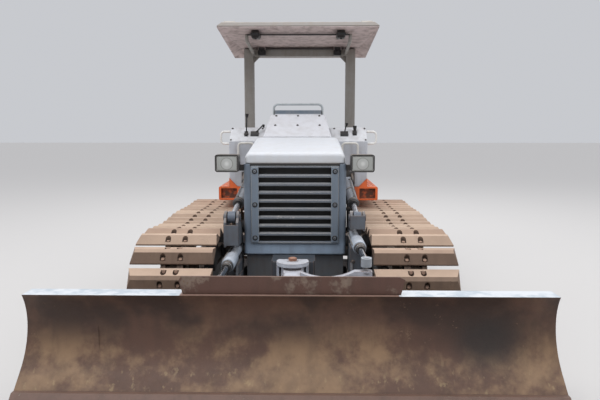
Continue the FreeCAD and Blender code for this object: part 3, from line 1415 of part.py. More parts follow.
def blade_back():
    """Ribs, the top and foot stiffeners, the spill guard, the tilt pin and the tilt cylinder's lug."""
    space = curve_space(blade_plate + running_gap)
    flange_rear = blade_lip_y + flange_depth
    under = blade_lip_z - blade_plate - running_gap
    rear = flange_rear - 4
    edge_foot = foot_point(90, blade_plate + running_gap).y
    rib_outline = [(-half_length, 90), (edge_foot + 60, 90), (rear, 250), (rear, under), (-half_length, under)]
    pieces = []
    for x in (250, 590, 930, blade_top_half_width - rib_plate - 4):
        pieces.append(side_plate(rib_outline, x, x + rib_plate))
        pieces.append(side_plate(rib_outline, -x - rib_plate, -x))
    stiffener = blade_top_half_width - 4
    pieces.append(side_plate([(rear - 10, under - 90), (rear, under - 90), (rear, under), (rear - 10, under)],
                             -stiffener, stiffener))
    pieces.append(side_plate([(-half_length, 258), (rear - 6, 258), (rear - 6, 270), (-half_length, 270)],
                             -stiffener, stiffener))
    pieces.append(side_plate([(rear - 12, 258), (rear, 258), (rear, 330), (rear - 12, 330)], -stiffener, stiffener))
    block_rear = tilt_boss_front_y - clear_gap - 6
    pieces.append(side_plate([(-half_length, tilt_pivot_z - 90), (block_rear - 20, tilt_pivot_z - 70),
                              (block_rear, tilt_pivot_z - 40), (block_rear, tilt_pivot_z + 40),
                              (block_rear - 20, tilt_pivot_z + 70), (-half_length, tilt_pivot_z + 110)], -95, 95))
    pieces.append(bar(V(0, block_rear - 20, tilt_pivot_z), V(0, tilt_boss_rear_y - 26, tilt_pivot_z),
                      tilt_pin_radius))
    gap = tilt_clevis_gap / 2
    lug_x = tilt_eye.x + tilt_eye_radius + 10
    pieces.append(side_plate([(-half_length, tilt_eye.z - 130), (tilt_cylinder_y + gap + 14, tilt_eye.z - 34),
                              (tilt_cylinder_y + gap + 14, tilt_eye.z + 28), (rear, under),
                              (-half_length, under)], lug_x, lug_x + 16))
    for y in (tilt_cylinder_y - gap - 14, tilt_cylinder_y + gap):
        pieces.append(face_plate([(tilt_eye.x - 24, tilt_eye.z - 24), (lug_x + 2, tilt_eye.z - 34),
                                  (lug_x + 2, tilt_eye.z + 28), (tilt_eye.x - 24, tilt_eye.z + 28)], y, y + 14))
    trimmed = fuse(*pieces).cut(space)
    guard_y = blade_lip_y + 26
    top_z = spill_top_z
    half = spill_half_width
    low = blade_lip_z + running_gap
    guard = [face_plate([(-half + 28, low), (half - 6, low), (half + 14, top_z - 14), (half - 16, top_z),
                         (-half + 22, top_z), (-half + 10, top_z - 20)], guard_y, guard_y + spill_plate)]
    for x in (-430, -150, 130, 410):
        guard.append(side_plate([(guard_y + spill_plate - 2, low), (guard_y + 66, low),
                                 (guard_y + spill_plate - 2, top_z - 14)], x, x + 10))
    return group(trimmed, fuse(*guard))


parts["blade_back"] = blade_back()

os.makedirs("parts", exist_ok=True)
for name, shape in parts.items():
    solids = shape.Solids
    shape = solids[0] if len(solids) == 1 else Part.makeCompound(solids)
    shape.exportStep("parts/" + name + ".step")
    print(name, len(solids), round(shape.Volume / 1e9, 5), shape.isValid())
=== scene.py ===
"""Small crawler bulldozer with swamp shoes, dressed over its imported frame. Metres, Z up, blade towards -Y."""
import bmesh
import bpy
import math
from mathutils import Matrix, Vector


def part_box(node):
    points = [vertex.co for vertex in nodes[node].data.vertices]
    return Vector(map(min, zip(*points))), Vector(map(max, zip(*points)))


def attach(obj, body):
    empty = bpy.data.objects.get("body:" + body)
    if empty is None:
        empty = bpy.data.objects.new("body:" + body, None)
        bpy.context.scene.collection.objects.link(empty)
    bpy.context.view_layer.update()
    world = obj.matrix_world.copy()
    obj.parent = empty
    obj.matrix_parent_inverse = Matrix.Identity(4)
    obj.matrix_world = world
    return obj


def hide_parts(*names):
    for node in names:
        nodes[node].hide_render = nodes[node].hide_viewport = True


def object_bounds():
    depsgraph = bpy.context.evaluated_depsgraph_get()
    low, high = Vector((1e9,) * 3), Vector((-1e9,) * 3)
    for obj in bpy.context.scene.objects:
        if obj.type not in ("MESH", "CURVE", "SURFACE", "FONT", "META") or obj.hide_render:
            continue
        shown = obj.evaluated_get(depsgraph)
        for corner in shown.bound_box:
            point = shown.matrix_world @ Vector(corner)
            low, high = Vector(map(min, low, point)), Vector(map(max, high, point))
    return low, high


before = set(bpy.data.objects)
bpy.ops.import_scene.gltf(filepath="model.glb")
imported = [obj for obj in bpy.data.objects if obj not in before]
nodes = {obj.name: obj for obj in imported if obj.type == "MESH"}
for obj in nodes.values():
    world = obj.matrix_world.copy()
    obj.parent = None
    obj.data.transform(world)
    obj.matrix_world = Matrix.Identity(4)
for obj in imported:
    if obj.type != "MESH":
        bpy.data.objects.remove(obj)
frame_box = [list(corner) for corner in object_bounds()]

# Tracks
# Each track is a closed chain of 38 forged links with a swamp shoe bolted on every pair: a low steel roof,
# cast with arched pockets for its bolt heads. The yard has left dry tan dust over brown rust on them; the pale on
# faces that look up is partly that dust and partly painted light from above.


def srgb(red, green, blue):
    """A colour as a picture shows it, 0 to 255, as the shader wants it."""
    linear = []
    for level in (red, green, blue):
        share = level / 255
        linear.append(share / 12.92 if share <= 0.04045 else ((share + 0.055) / 1.055) ** 2.4)
    return (*linear, 1.0)


class Value:
    """A shader node's output. Arithmetic with it adds the nodes that do the sums."""

    def __init__(self, socket):
        self.socket = socket
        self.tree = socket.id_data

    def calc(self, operation, first, second=0.0):
        return add_node(self.tree, "Math", {0: first, 1: second}, operation=operation)

    def __add__(self, other):
        return self.calc("ADD", self, other)

    def __radd__(self, other):
        return self.calc("ADD", other, self)

    def __sub__(self, other):
        return self.calc("SUBTRACT", self, other)

    def __rsub__(self, other):
        return self.calc("SUBTRACT", other, self)

    def __mul__(self, other):
        return self.calc("MULTIPLY", self, other)

    def __abs__(self):
        return self.calc("ABSOLUTE", self)

    def clamped(self):
        """The same value, kept between 0 and 1."""
        self.socket.node.use_clamp = True
        return self

    def eased(self, low, high, start=0.0, end=1.0):
        """The value eased from start to end as it goes from low to high."""
        sockets = {"Value": self, "From Min": low, "From Max": high, "To Min": start, "To Max": end}
        return add_node(self.tree, "MapRange", sockets, interpolation_type="SMOOTHSTEP")

    def lays(self, under, over):
        """One colour laid over another, by this share."""
        return add_node(self.tree, "Mix", {0: self, 6: under, 7: over}, 2, data_type="RGBA")

    def noise(self, scale, detail, roughness=0.55):
        """Cloudy noise at this place, at a scale per metre."""
        sockets = {"Vector": self, "Scale": scale, "Detail": detail, "Roughness": roughness}
        return add_node(self.tree, "TexNoise", sockets)

    def axes(self):
        """The X, Y and Z of this place."""
        parts = add_node(self.tree, "SeparateXYZ", {"Vector": self}).socket.node
        return [Value(part) for part in parts.outputs]


def feed(socket, value):
    """Gives an input its value: a node's output, a colour as red, green and blue, a vector or a number."""
    if isinstance(value, Value):
        value.tree.links.new(value.socket, socket)
    else:
        socket.default_value = srgb(*value) if socket.type == "RGBA" else value


def add_node(tree, kind, inputs=None, output=0, **settings):
    """One output of a new shader node, from its inputs and settings."""
    made = tree.nodes.new("ShaderNode" + kind)
    for key, value in settings.items():
        setattr(made, key, value)
    for key, value in (inputs or {}).items():
        feed(made.inputs[key], value)
    return Value(made.outputs[output])


def looks_up(tree):
    """How far a face looks up in the object's own frame, so that it is the same at every pose."""
    normal = add_node(tree, "NewGeometry", output="Normal")
    own = add_node(tree, "VectorTransform", {"Vector": normal}, vector_type="NORMAL", convert_from="WORLD",
                   convert_to="OBJECT")
    return own.axes()[2]


def make_site_wear():
    """Paint with worn edges, chips, dark streaks, dust on what faces up and painted shade in hollows."""
    tree = bpy.data.node_groups.new("site_wear", "ShaderNodeTree")
    kinds = dict.fromkeys(("Paint", "Bare", "Dust", "Grime", "Color"), "Color")
    kinds["Normal"] = "Vector"
    for way, names in (("INPUT", "Paint Bare Dust Grime Wear Chips Dusting Stain Matt Metal"),
                       ("OUTPUT", "Color Roughness Metallic Height Normal")):
        for name in names.split():
            tree.interface.new_socket(name, in_out=way, socket_type="NodeSocket" + kinds.get(name, "Float"))
    given = {socket.name: Value(socket) for socket in tree.nodes.new("NodeGroupInput").outputs}
    place = add_node(tree, "TexCoord", output="Object")
    cloud = place.noise(2.6, 3.0)
    patch = place.noise(13.0, 6.0, 0.62)
    speck = place.noise(85.0, 4.0, 0.7)
    streak = add_node(tree, "Mapping", {"Vector": place, "Scale": (17.0, 17.0, 1.5)}).noise(1.0, 4.0, 0.6)
    soft = add_node(tree, "Bevel", {"Radius": 0.005}, samples=4)
    flat = add_node(tree, "NewGeometry", output="Normal")
    cosine = add_node(tree, "VectorMath", {0: soft, 1: flat}, "Value", operation="DOT_PRODUCT")
    grit = patch * 0.45 + speck * 0.55
    rubbed = ((1.0 - cosine) * 3.2 * given["Wear"] + grit).eased(0.74, 0.86)
    start = 0.74 - given["Chips"] * 0.3
    chipped = (grit + (cloud - 0.5) * 0.35 - start).eased(0.0, 0.035)
    bare = rubbed.calc("MAXIMUM", rubbed, chipped)
    lying = looks_up(tree).eased(0.25, 0.95) * (0.35 + cloud)
    dust = ((lying + patch * 0.35) * given["Dusting"]).clamped()
    stain = ((streak * 0.6 + patch * 0.4).eased(0.42, 0.66) * given["Stain"]).clamped()
    color = stain.lays(given["Paint"], given["Grime"])
    color = bare.lays(color, given["Bare"])
    color = dust.lays(color, given["Dust"])
    rough = (given["Matt"] + (grit - 0.5) * 0.5 + dust * 0.3).clamped()
    # Painted shade: ambient occlusion darkens the colour towards the grime-and-shade colour in hollows, creases
    # and between parts.
    hollow = add_node(tree, "AmbientOcclusion", {"Distance": 0.05}, "AO", samples=6)
    color = (hollow.eased(0.15, 0.8, 1.0, 0.0) * 0.72).lays(color, given["Grime"])
    metallic = (bare * given["Metal"] * (1.0 - dust)).clamped()
    out = tree.nodes.new("NodeGroupOutput")
    for name, value in (("Color", color), ("Roughness", rough), ("Metallic", metallic),
                        ("Height", grit - bare * 0.5), ("Normal", soft)):
        feed(out.inputs[name], value)
    return tree


site_wear = make_site_wear()
yard_dust = (178, 158, 138)
old_grime_and_shade = (52, 45, 40)
brown_rust = (96, 62, 45)


def worn(name, paint, bare=brown_rust, dust=yard_dust, grime=old_grime_and_shade, wear=0.6, chips=0.2, dusting=0.3,
         stain=0.3, matt=0.5, metal=0.0, bump=0.35):
    """A material for a part that has worked outdoors."""
    material = bpy.data.materials.new(name)
    material.use_nodes = True
    tree = material.node_tree
    shader = tree.nodes["Principled BSDF"].inputs
    effect = tree.nodes.new("ShaderNodeGroup")
    effect.node_tree = site_wear
    for key, value in (("Paint", paint), ("Bare", bare), ("Dust", dust), ("Grime", grime), ("Wear", wear),
                       ("Chips", chips), ("Dusting", dusting), ("Stain", stain), ("Matt", matt),
                       ("Metal", metal)):
        feed(effect.inputs[key], value)
    made = {output.name: Value(output) for output in effect.outputs}
    relief = add_node(tree, "Bump", {"Strength": bump, "Distance": 0.002, "Height": made["Height"],
                                     "Normal": made["Normal"]})
    for key, value in (("Base Color", made["Color"]), ("Roughness", made["Roughness"]),
                       ("Metallic", made["Metallic"]), ("Normal", relief)):
        feed(shader[key], value)
    return material


class Retouch:
    """A worn material opened for masks, with the place on the object and its X, Y and Z."""

    def __init__(self, material):
        self.tree = material.node_tree
        self.wear = next(node for node in self.tree.nodes if node.type == "GROUP")
        self.shader = self.tree.nodes["Principled BSDF"].inputs
        self.spot = add_node(self.tree, "TexCoord", output="Object")
        self.x, self.y, self.z = self.spot.axes()

    def __setitem__(self, name, value):
        """Gives a wear input its value."""
        feed(self.wear.inputs[name], value)


def loose_form(name, shape):
    """A mesh object from (points, faces), its faces turned outward."""
    mesh = bpy.data.meshes.new(name)
    mesh.from_pydata([tuple(point) for point in shape[0]], [], shape[1])
    mesh.validate()
    form = bmesh.new()
    form.from_mesh(mesh)
    bmesh.ops.recalc_face_normals(form, faces=form.faces)
    form.to_mesh(mesh)
    form.free()
    made = bpy.data.objects.new(name, mesh)
    bpy.context.collection.objects.link(made)
    return made


def piece(name, shapes, material, smooth=False, body="root"):
    """A mesh of its own that rides on a body."""
    made = loose_form(name, joined(shapes))
    mesh = made.data
    mesh.materials.append(material)
    if smooth:
        mesh.shade_smooth()
        mesh.set_sharp_from_angle(angle=math.radians(40))
    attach(made, body)
    return made


def prism(outline, place, reach):
    """Points and faces of a flat outline pulled along a vector. place turns an outline point into 3-D."""
    near = [Vector(place(*point)) for point in outline]
    far = [point + Vector(reach) for point in near]
    count = len(near)
    faces = [tuple(range(count))[::-1], tuple(range(count, 2 * count))]
    for index in range(count):
        following = (index + 1) % count
        faces.append((index, following, count + following, count + index))
    return near + far, faces


def joined(shapes):
    """Several (points, faces) shapes as one."""
    points, faces = [], []
    for some_points, some_faces in shapes:
        base = len(points)
        points.extend(some_points)
        faces.extend([tuple(base + corner for corner in face) for face in some_faces])
    return points, faces


def lofted(rings, hollow=False):
    """A closed form through rings of points, as (points, faces). A hollow one has no ends."""
    count = len(rings[0])
    points = [Vector(point) for ring in rings for point in ring]
    faces = []
    if not hollow:
        faces = [tuple(range(count))[::-1], tuple(range(len(points) - count, len(points)))]
    for turn in range(len(rings) if hollow else len(rings) - 1):
        here, after = turn * count, (turn + 1) % len(rings) * count
        for index in range(count):
            following = (index + 1) % count
            faces.append((here + index, here + following, after + following, after + index))
    return points, faces


def turned(start, along, profile, sides=20, hollow=False):
    """A round form about an axis, from pairs of distance along it and radius."""
    start, along = Vector(start), Vector(along).normalized()
    turn = along.to_track_quat("Z", "Y")
    rings = []
    for distance, radius in profile:
        ring = []
        for index in range(sides):
            angle = 2 * math.pi * index / sides
            ring.append(start + turn @ Vector((radius * math.cos(angle), radius * math.sin(angle), distance)))
        rings.append(ring)
    return lofted(rings, hollow)


def rod(start, end, radius, sides=16):
    """A round bar between two points."""
    run = Vector(end) - Vector(start)
    return turned(start, run, [(0.0, radius), (run.length, radius)], sides)


def bolt(centre, out, size, height=None, turn=0.3):
    """A washer with a hexagon head on it, standing out along a direction."""
    height = height or size * 0.42
    centre, out = Vector(centre), Vector(out).normalized()
    washer = turned(centre - out * 0.001, out, [(0.0, size * 0.72), (0.001 + height * 0.2, size * 0.72)], 16)
    lift = out.to_track_quat("Z", "Y")
    rings = []
    for level, radius in ((0.0, 0.56), (0.85, 0.56), (1.0, 0.47)):
        ring = []
        for index in range(6):
            angle = turn + math.pi * index / 3
            spot = Vector((size * radius * math.cos(angle), size * radius * math.sin(angle), height * level))
            ring.append(centre + lift @ spot)
        rings.append(ring)
    return joined([washer, lofted(rings)])


def evaluated(made):
    """An object as its modifiers leave it."""
    return made.evaluated_get(bpy.context.evaluated_depsgraph_get())


link_pitch = 0.135
link_count = 38
sprocket_teeth = 13
pitch_radius = link_pitch / 2 / math.sin(math.pi / sprocket_teeth)
shoe_seat = 0.044
shoe_edge = 0.009
shoe_ridge = 0.095
shoe_half_width = 0.25
idler_y = -0.610
carrier_y = 0.250
first_pin = 0.35
straight_links = (link_count - sprocket_teeth) / 2
sprocket_y = idler_y + straight_links * link_pitch
wheel_z = shoe_ridge + pitch_radius
track_x = 0.725


def top_sag(y):
    """How far the top run hangs below a straight line."""
    if y < carrier_y:
        return 0.020 * math.sin(math.pi * (y - idler_y) / (carrier_y - idler_y)) ** 2
    return 0.009 * math.sin(math.pi * (y - carrier_y) / (sprocket_y - carrier_y)) ** 2


def pin_place(step):
    """The (y, z) of the chain's line, a number of links round from under the idler."""
    step = step % link_count
    wrap_links = sprocket_teeth / 2
    if step < straight_links:
        return idler_y + step * link_pitch, shoe_ridge
    step -= straight_links
    if step < wrap_links:
        angle = math.pi * step / wrap_links
        return sprocket_y + pitch_radius * math.sin(angle), wheel_z - pitch_radius * math.cos(angle)
    step -= wrap_links
    if step < straight_links:
        y = sprocket_y - step * link_pitch
        return y, wheel_z + pitch_radius - top_sag(y)
    angle = math.pi * (step - straight_links) / wrap_links
    return idler_y - pitch_radius * math.sin(angle), wheel_z + pitch_radius * math.cos(angle)


pocket_rows = ((1, 0.105), (-1, 0.073))
pocket_radius = 0.0165
pocket_end = 0.052
pocket_floor = 0.060


def one_shoe():
    """A shoe lying flat in (x across, u along, h up), its pockets cut, as (points, faces)."""
    half_base = (link_pitch - 0.004) / 2
    half_ridge = 0.013
    rise = shoe_ridge - shoe_seat - shoe_edge
    section = [(-half_base, shoe_seat), (half_base, shoe_seat), (half_base, shoe_seat + shoe_edge),
               (half_ridge, shoe_ridge), (-half_ridge, shoe_ridge), (-half_base, shoe_seat + shoe_edge)]
    points = []
    for outer in (False, True):
        for u, h in section:
            setback = 0.024 * max(0.0, h - shoe_seat - shoe_edge) / rise
            x = shoe_half_width - setback if outer else setback / 4 - shoe_half_width
            points.append((x, u, h))
    count = len(section)
    faces = [tuple(range(count)), tuple(range(count, 2 * count))[::-1]]
    for index in range(count):
        following = (index + 1) % count
        faces.append((index, count + index, count + following, following))
    solid = loose_form("shoe_form", (points, faces))
    cutters = []
    for side, spacing in pocket_rows:
        for x in (-spacing / 2, spacing / 2):
            arch = []
            for step in range(9):
                angle = math.pi * step / 8
                arch.append((x + pocket_radius * math.cos(angle),
                             side * (half_ridge + 0.004 + pocket_radius * (1 - math.sin(angle)))))
            arch += [(x - pocket_radius, side * pocket_end), (x + pocket_radius, side * pocket_end)]
            cutters.append(prism(arch, lambda a, b: (a, b, pocket_floor), (0, 0, 0.08)))
    pockets = loose_form("pocket_form", joined(cutters))
    cut = solid.modifiers.new("pockets", "BOOLEAN")
    cut.object = pockets
    cut.solver = "EXACT"
    cut.use_self = True
    cut_solid = evaluated(solid)
    result = cut_solid.to_mesh()
    points = [vertex.co.copy() for vertex in result.vertices]
    faces = [tuple(face.vertices) for face in result.polygons]
    cut_solid.to_mesh_clear()
    bpy.data.objects.remove(solid)
    bpy.data.objects.remove(pockets)
    return points, faces


def link_outline():
    """One side of a link: (u along, h out), a stadium with a seat for the shoe."""
    half = link_pitch / 2
    eye = 0.034
    outline = []
    for centre, start in ((half, -90), (-half, 90)):
        for step in range(7):
            angle = math.radians(start + 30 * step)
            outline.append((centre + eye * math.cos(angle), eye * math.sin(angle)))
        if centre > 0:
            outline += [(half * 0.82, shoe_seat), (-half * 0.82, shoe_seat)]
    return [(u, max(h, -0.042)) for u, h in outline]


def laid_round(shape, index, side):
    """A shape in (x, u, h) put on link number index of one track."""
    (y0, z0), (y1, z1) = pins[index], pins[(index + 1) % link_count]
    length = math.hypot(y1 - y0, z1 - z0)
    along = ((y1 - y0) / length, (z1 - z0) / length)
    out = (along[1], -along[0])
    mid = ((y0 + y1) / 2, (z0 + z1) / 2)
    points = []
    for x, u, h in shape[0]:
        points.append(Vector((side * (track_x + x), mid[0] + along[0] * u + out[0] * h,
                              mid[1] + along[1] * u + out[1] * h)))
    return points, shape[1]


def make_shoe_steel():
    """Shoe steel, each shoe a little lighter or darker than the next."""
    # The heavy pale dust on faces that look up is partly dust and partly painted light from above.
    material = worn("shoe_steel", (140, 108, 90), bare=(92, 70, 58), dust=(196, 165, 144),
                    grime=(58, 45, 38), wear=0.35, chips=0.5, dusting=0.75, stain=0.4, matt=0.85, bump=0.9)
    at = Retouch(material)
    chance = add_node(at.tree, "NewGeometry", output="Random Per Island")
    at["Paint"] = chance.lays((90, 71, 59), (132, 108, 90))
    at["Dust"] = chance.lays((184, 157, 137), (216, 192, 170))
    return material


pins = [pin_place(index + first_pin) for index in range(link_count)]
shoe_steel = make_shoe_steel()
shoe_bolts = worn("shoe_bolt_steel", (120, 92, 76), dust=(176, 146, 126), wear=0.7, chips=0.4,
                  dusting=0.5, matt=0.7)
link_steel = worn("link_steel", (70, 54, 45), dust=(140, 116, 98), dusting=0.35, chips=0.4, matt=0.7)
shoe_form = one_shoe()
bolt_forms = []
for side, spacing in pocket_rows:
    for x in (-spacing / 2, spacing / 2):
        bolt_forms.append(bolt((x, side * 0.041, pocket_floor - 0.001), (0, 0, 1), 0.022, 0.010, 0.4))
link_forms = []
for x, thickness in ((-0.068, 0.014), (-0.044, 0.014), (0.038, 0.014), (0.060, 0.008)):
    link_forms.append(prism(link_outline(), lambda u, h, x=x: (x, u, h), (thickness, 0, 0)))
for x in (-0.058, 0.046):
    link_forms.append(prism(link_outline(), lambda u, h, x=x: (x, u * 0.97, h * 0.96), (0.016, 0, 0)))
link_forms.append(rod((-0.067, link_pitch / 2, 0), (0.067, link_pitch / 2, 0), 0.022, 12))
for side, word in ((1, "right"), (-1, "left")):
    for kind, forms, material in (("shoes", [shoe_form], shoe_steel), ("shoe_bolts", bolt_forms, shoe_bolts),
                                  ("links", link_forms, link_steel)):
        whole = [laid_round(joined(forms), index, side) for index in range(link_count)]
        made = piece("track_%s_%s" % (kind, word), whole, material)
        if kind == "shoes":
            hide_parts("track_" + word)

# Wheels of the tracks
# A cast idler at the front, a toothed rim on the final drive at the back and rollers between them, all iron,
# brown with rust and rubbed bright where the links run. Twelve bolts hold each toothed rim on its drive.


def dress(material, *names):
    """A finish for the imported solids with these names."""
    for name in names:
        for holder in nodes[name].material_slots:
            holder.material = material


def ring_of(centre, axis, radius, count, start=0.0):
    """Evenly spaced spots round an axis."""
    centre = Vector(centre)
    lift = Vector(axis).to_track_quat("Z", "Y")
    spots = []
    for index in range(count):
        angle = start + 2 * math.pi * index / count
        spots.append(centre + lift @ Vector((radius * math.cos(angle), radius * math.sin(angle), 0)))
    return spots


wheel_steel = worn("wheel_steel", (80, 66, 56), bare=(120, 112, 104), dusting=0.5, wear=0.7, metal=0.7,
                   matt=0.6)
dress(wheel_steel, "idler_right", "idler_left", "sprocket_right", "sprocket_left", "track_rollers")
for side, word in ((1, "right"), (-1, "left")):
    low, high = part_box("sprocket_" + word)
    outer_x = high[0] if side > 0 else low[0]
    hub = (outer_x, sprocket_y, wheel_z)
    rim_bolts = [bolt(spot, (side, 0, 0), 0.022) for spot in ring_of(hub, (side, 0, 0), 0.092, 12)]
    cap = turned(hub, (side, 0, 0), [(-0.002, 0.062), (0.006, 0.062), (0.009, 0.058), (0.009, 0.024),
                                     (0.012, 0.020)])
    piece("drive_bolts_" + word, rim_bolts + [cap], wheel_steel)

# Chassis
# Welded plate painted dark slate: track frames, the bar that lets them rock, the main frame between them, the
# final drives and the towing jaw. Dust lies on every flat, and rust shows through at the corners.
frame_paint = worn("frame_paint", (84, 90, 97), dusting=0.5, wear=0.75, chips=0.35, stain=0.5, matt=0.55)
dress(frame_paint, "track_frame_right", "track_frame_left", "equalizer_bar", "final_drives", "main_frame",
      "drawbar", "deck_floor", "seat_base")
ear_paint = worn("ear_paint", (52, 55, 60), dusting=0.3, wear=0.7, chips=0.3, stain=0.4, matt=0.5)
dress(ear_paint, "firewall")


def box_ring(x0, x1, y0, y1, z, cut):
    """A level rectangle of eight points, its corners cut off."""
    return [(x0 + cut, y0, z), (x1 - cut, y0, z), (x1, y0 + cut, z), (x1, y1 - cut, z),
            (x1 - cut, y1, z), (x0 + cut, y1, z), (x0, y1 - cut, z), (x0, y0 + cut, z)]


def block(low, high, cut=0.003):
    """A box with its edges taken off."""
    rings = []
    for z, inset in ((low[2], cut), (low[2] + cut, 0.0), (high[2] - cut, 0.0), (high[2], cut)):
        rings.append(box_ring(low[0] + inset, high[0] - inset, low[1] + inset, high[1] - inset, z, cut))
    return lofted(rings)


def pipe(points, radius, sides=10):
    """A bent tube through some points, its corners rounded."""
    route = [Vector(point) for point in points]
    for _ in range(3):
        finer = [route[0]]
        for here, following in zip(route, route[1:]):
            finer += [here.lerp(following, 0.25), here.lerp(following, 0.75)]
        route = finer + [route[-1]]
    heading = (route[1] - route[0]).normalized()
    turn = heading.to_track_quat("Z", "Y")
    rings = []
    for index, spot in enumerate(route):
        ahead = route[min(index + 1, len(route) - 1)] - route[max(index - 1, 0)]
        turn = heading.rotation_difference(ahead) @ turn
        heading = ahead.normalized()
        rings.append([spot + turn @ Vector((radius * math.cos(2 * math.pi * step / sides),
                                            radius * math.sin(2 * math.pi * step / sides), 0))
                      for step in range(sides)])
    return lofted(rings)


# Three oil hoses at each side come forward low down, rise through one clamp and bend back at the top.
hose_rubber = worn("hose_rubber", (24, 25, 27), bare=(60, 60, 60), dusting=0.12, wear=0.2, chips=0.0,
                   stain=0.4, matt=0.7)
hoses = []
for side in (-1, 1):
    for x in (0.350, 0.381, 0.412):
        hoses.append(pipe([(side * x, 0.600, 0.560), (side * x, 0.476, 0.568), (side * x, 0.476, 0.740),
                           (side * x, 0.476, 0.868), (side * x, 0.504, 0.874)], 0.0145))
    left, right = sorted((side * 0.333, side * 0.429))
    hoses.append(block((left, 0.458, 0.734), (right, 0.494, 0.758)))
piece("oil_hoses", hoses, hose_rubber, True)
case_iron = worn("case_iron", (74, 72, 70), dusting=0.45, chips=0.4, stain=0.6, matt=0.6)
dress(case_iron, "rear_case", "engine_block")
frame_bolts = worn("frame_bolt_steel", (70, 70, 72), bare=(120, 96, 80), dusting=0.35, wear=0.9, chips=0.5,
                   metal=0.4, matt=0.5)
low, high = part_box("rear_case")
forms = []
for x in (low[0] + 0.035, low[0] + 0.13, high[0] - 0.13, high[0] - 0.035):
    for z in (low[2] + 0.04, high[2] - 0.04):
        forms.append(bolt((x, high[1], z), (0, 1, 0), 0.024))
cover_profile = [(-0.002, 0.105), (0.010, 0.105), (0.014, 0.100), (0.014, 0.044), (0.024, 0.040),
                 (0.024, 0.020), (0.020, 0.016)]
cover = turned((0, high[1], 0.56), (0, 1, 0), cover_profile, 32)
forms += [bolt(spot, (0, 1, 0), 0.014) for spot in ring_of((0, high[1] + 0.013, 0.56), (0, 1, 0), 0.082, 8)]
piece("rear_case_cover", [cover] + forms, frame_bolts)
forms = []
for side in (1, -1):
    for index in range(5):
        for shift in (-0.022, 0.022):
            for out, x in ((-1, 0.614), (1, 0.836)):
                spot = (side * x, -0.290 + 0.240 * index + shift, 0.205)
                forms.append(bolt(spot, (side * out, 0, 0), 0.020))
piece("roller_bolts", forms, frame_bolts)

# Radiator guard and grille
# A folded plate housing round the radiator, with a bolted panel of eight pressed slats in front of it. The
# slats have lost their slate paint on the rounded faces and show pale grey. Black sockets hold six cap bolts.


def make_guard_paint():
    """Slate paint, paler along the foot as painted light."""
    slate = (114, 127, 142)
    material = worn("guard_paint", slate, bare=(112, 104, 98), dust=(150, 150, 148),
                    dusting=0.22, wear=0.6, chips=0.18, stain=0.25, matt=0.46)
    at = Retouch(material)
    # Painted light: the slate fades to a paler blue-grey below 0.70 m and is palest below 0.60 m.
    at["Paint"] = at.z.eased(0.60, 0.70, 1.0, 0.0).lays(slate, (146, 163, 182))
    return material


dress(make_guard_paint(), "radiator_guard")
dress(worn("core_metal", (20, 22, 25), dust=(80, 72, 64), dusting=0.2, wear=0.1, matt=0.7), "radiator_core")


def make_grille_paint():
    """Slate paint, rubbed to pale metal along the middle of the slats but not on the side strips."""
    material = worn("grille_paint", (84, 95, 106), bare=(192, 190, 184), dust=(168, 162, 154),
                    grime=(60, 62, 66), wear=0.8, chips=0.3, dusting=0.3, stain=0.2, matt=0.48)
    at = Retouch(material)
    middle = abs(at.x).eased(0.225, 0.237, 1.0, 0.0)
    at["Chips"] = 0.12 + middle * 0.24
    at["Paint"] = middle.lays((112, 125, 139), (98, 105, 115))
    return material


dress(make_grille_paint(), "grille")
socket_black = worn("socket_black", (24, 26, 29), bare=(70, 72, 76), dusting=0.15, wear=0.4, chips=0.05,
                    stain=0.0, matt=0.5)
cap_steel = worn("cap_bolt_steel", (120, 130, 140), bare=(90, 80, 74), dusting=0.2, wear=0.7, chips=0.3,
                 metal=0.5, matt=0.4)
grille_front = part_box("grille")[0][1]
socket_profile = [(-0.001, 0.017), (0.002, 0.017), (0.004, 0.014), (0.004, 0.012), (0.001, 0.011)]
cap_profile = [(0.0, 0.0095), (0.006, 0.0095), (0.008, 0.0075), (0.008, 0.004), (0.004, 0.0035)]
sockets, caps = [], []
for x in (-0.2605, 0.2605):
    for z in (0.684, 0.903, 1.121):
        spot = (x, grille_front, z)
        sockets.append(turned(spot, (0, -1, 0), socket_profile, 24))
        caps.append(turned(spot, (0, -1, 0), cap_profile, 16))
piece("grille_sockets", sockets, socket_black, True)
piece("grille_bolts", caps, cap_steel, True)
# A black strip along the hood's front lip, put as painted shadow in the gap between the hood and the guard.
hood_gap_shadow = block((-0.292, -0.4755, 1.1540), (0.292, -0.4400, 1.1728), 0.002)
piece("hood_gap_shadow", [hood_gap_shadow], socket_black)

# Hood
# Thin pressed steel over the engine, near white and chalky, its front lip rolled over the guard.
hood_paint = worn("hood_paint", (208, 211, 216), bare=(160, 150, 140), dust=(206, 200, 192),
                  grime=(196, 190, 182), wear=0.2, chips=0.04, dusting=0.08, stain=0.22, matt=0.36, bump=0.08)
dress(hood_paint, "hood")
# The hood's rear edge is folded down on both sides.
flanges = []
for side in (-1, 1):
    outline = [(side * 0.256, 1.176), (side * 0.3085, 1.176), (side * 0.3085, 1.290), (side * 0.296, 1.313),
               (side * 0.274, 1.3225), (side * 0.256, 1.3225)]
    flanges.append(prism(outline, lambda x, z: (x, 0.1445, z), (0, 0.004, 0)))
piece("hood_flanges", flanges, hood_paint)
dress(worn("tank_paint", (214, 214, 217), bare=(140, 124, 112), dust=(196, 186, 174),
                  grime=(150, 138, 126), wear=0.45, chips=0.18, dusting=0.3, stain=0.4, matt=0.44, bump=0.12),
      "fuel_tank")
low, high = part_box("fuel_tank")
filler_y = (low[1] + high[1]) / 2
filler_profile = [(-0.002, 0.047), (0.004, 0.047), (0.006, 0.052), (0.020, 0.052), (0.026, 0.046),
                  (0.026, 0.014), (0.030, 0.011)]
filler_cap = turned((-0.26, filler_y, high[2] - 0.026), (0, 0, 1), filler_profile, 28)
piece("filler_cap", [filler_cap], socket_black, True)
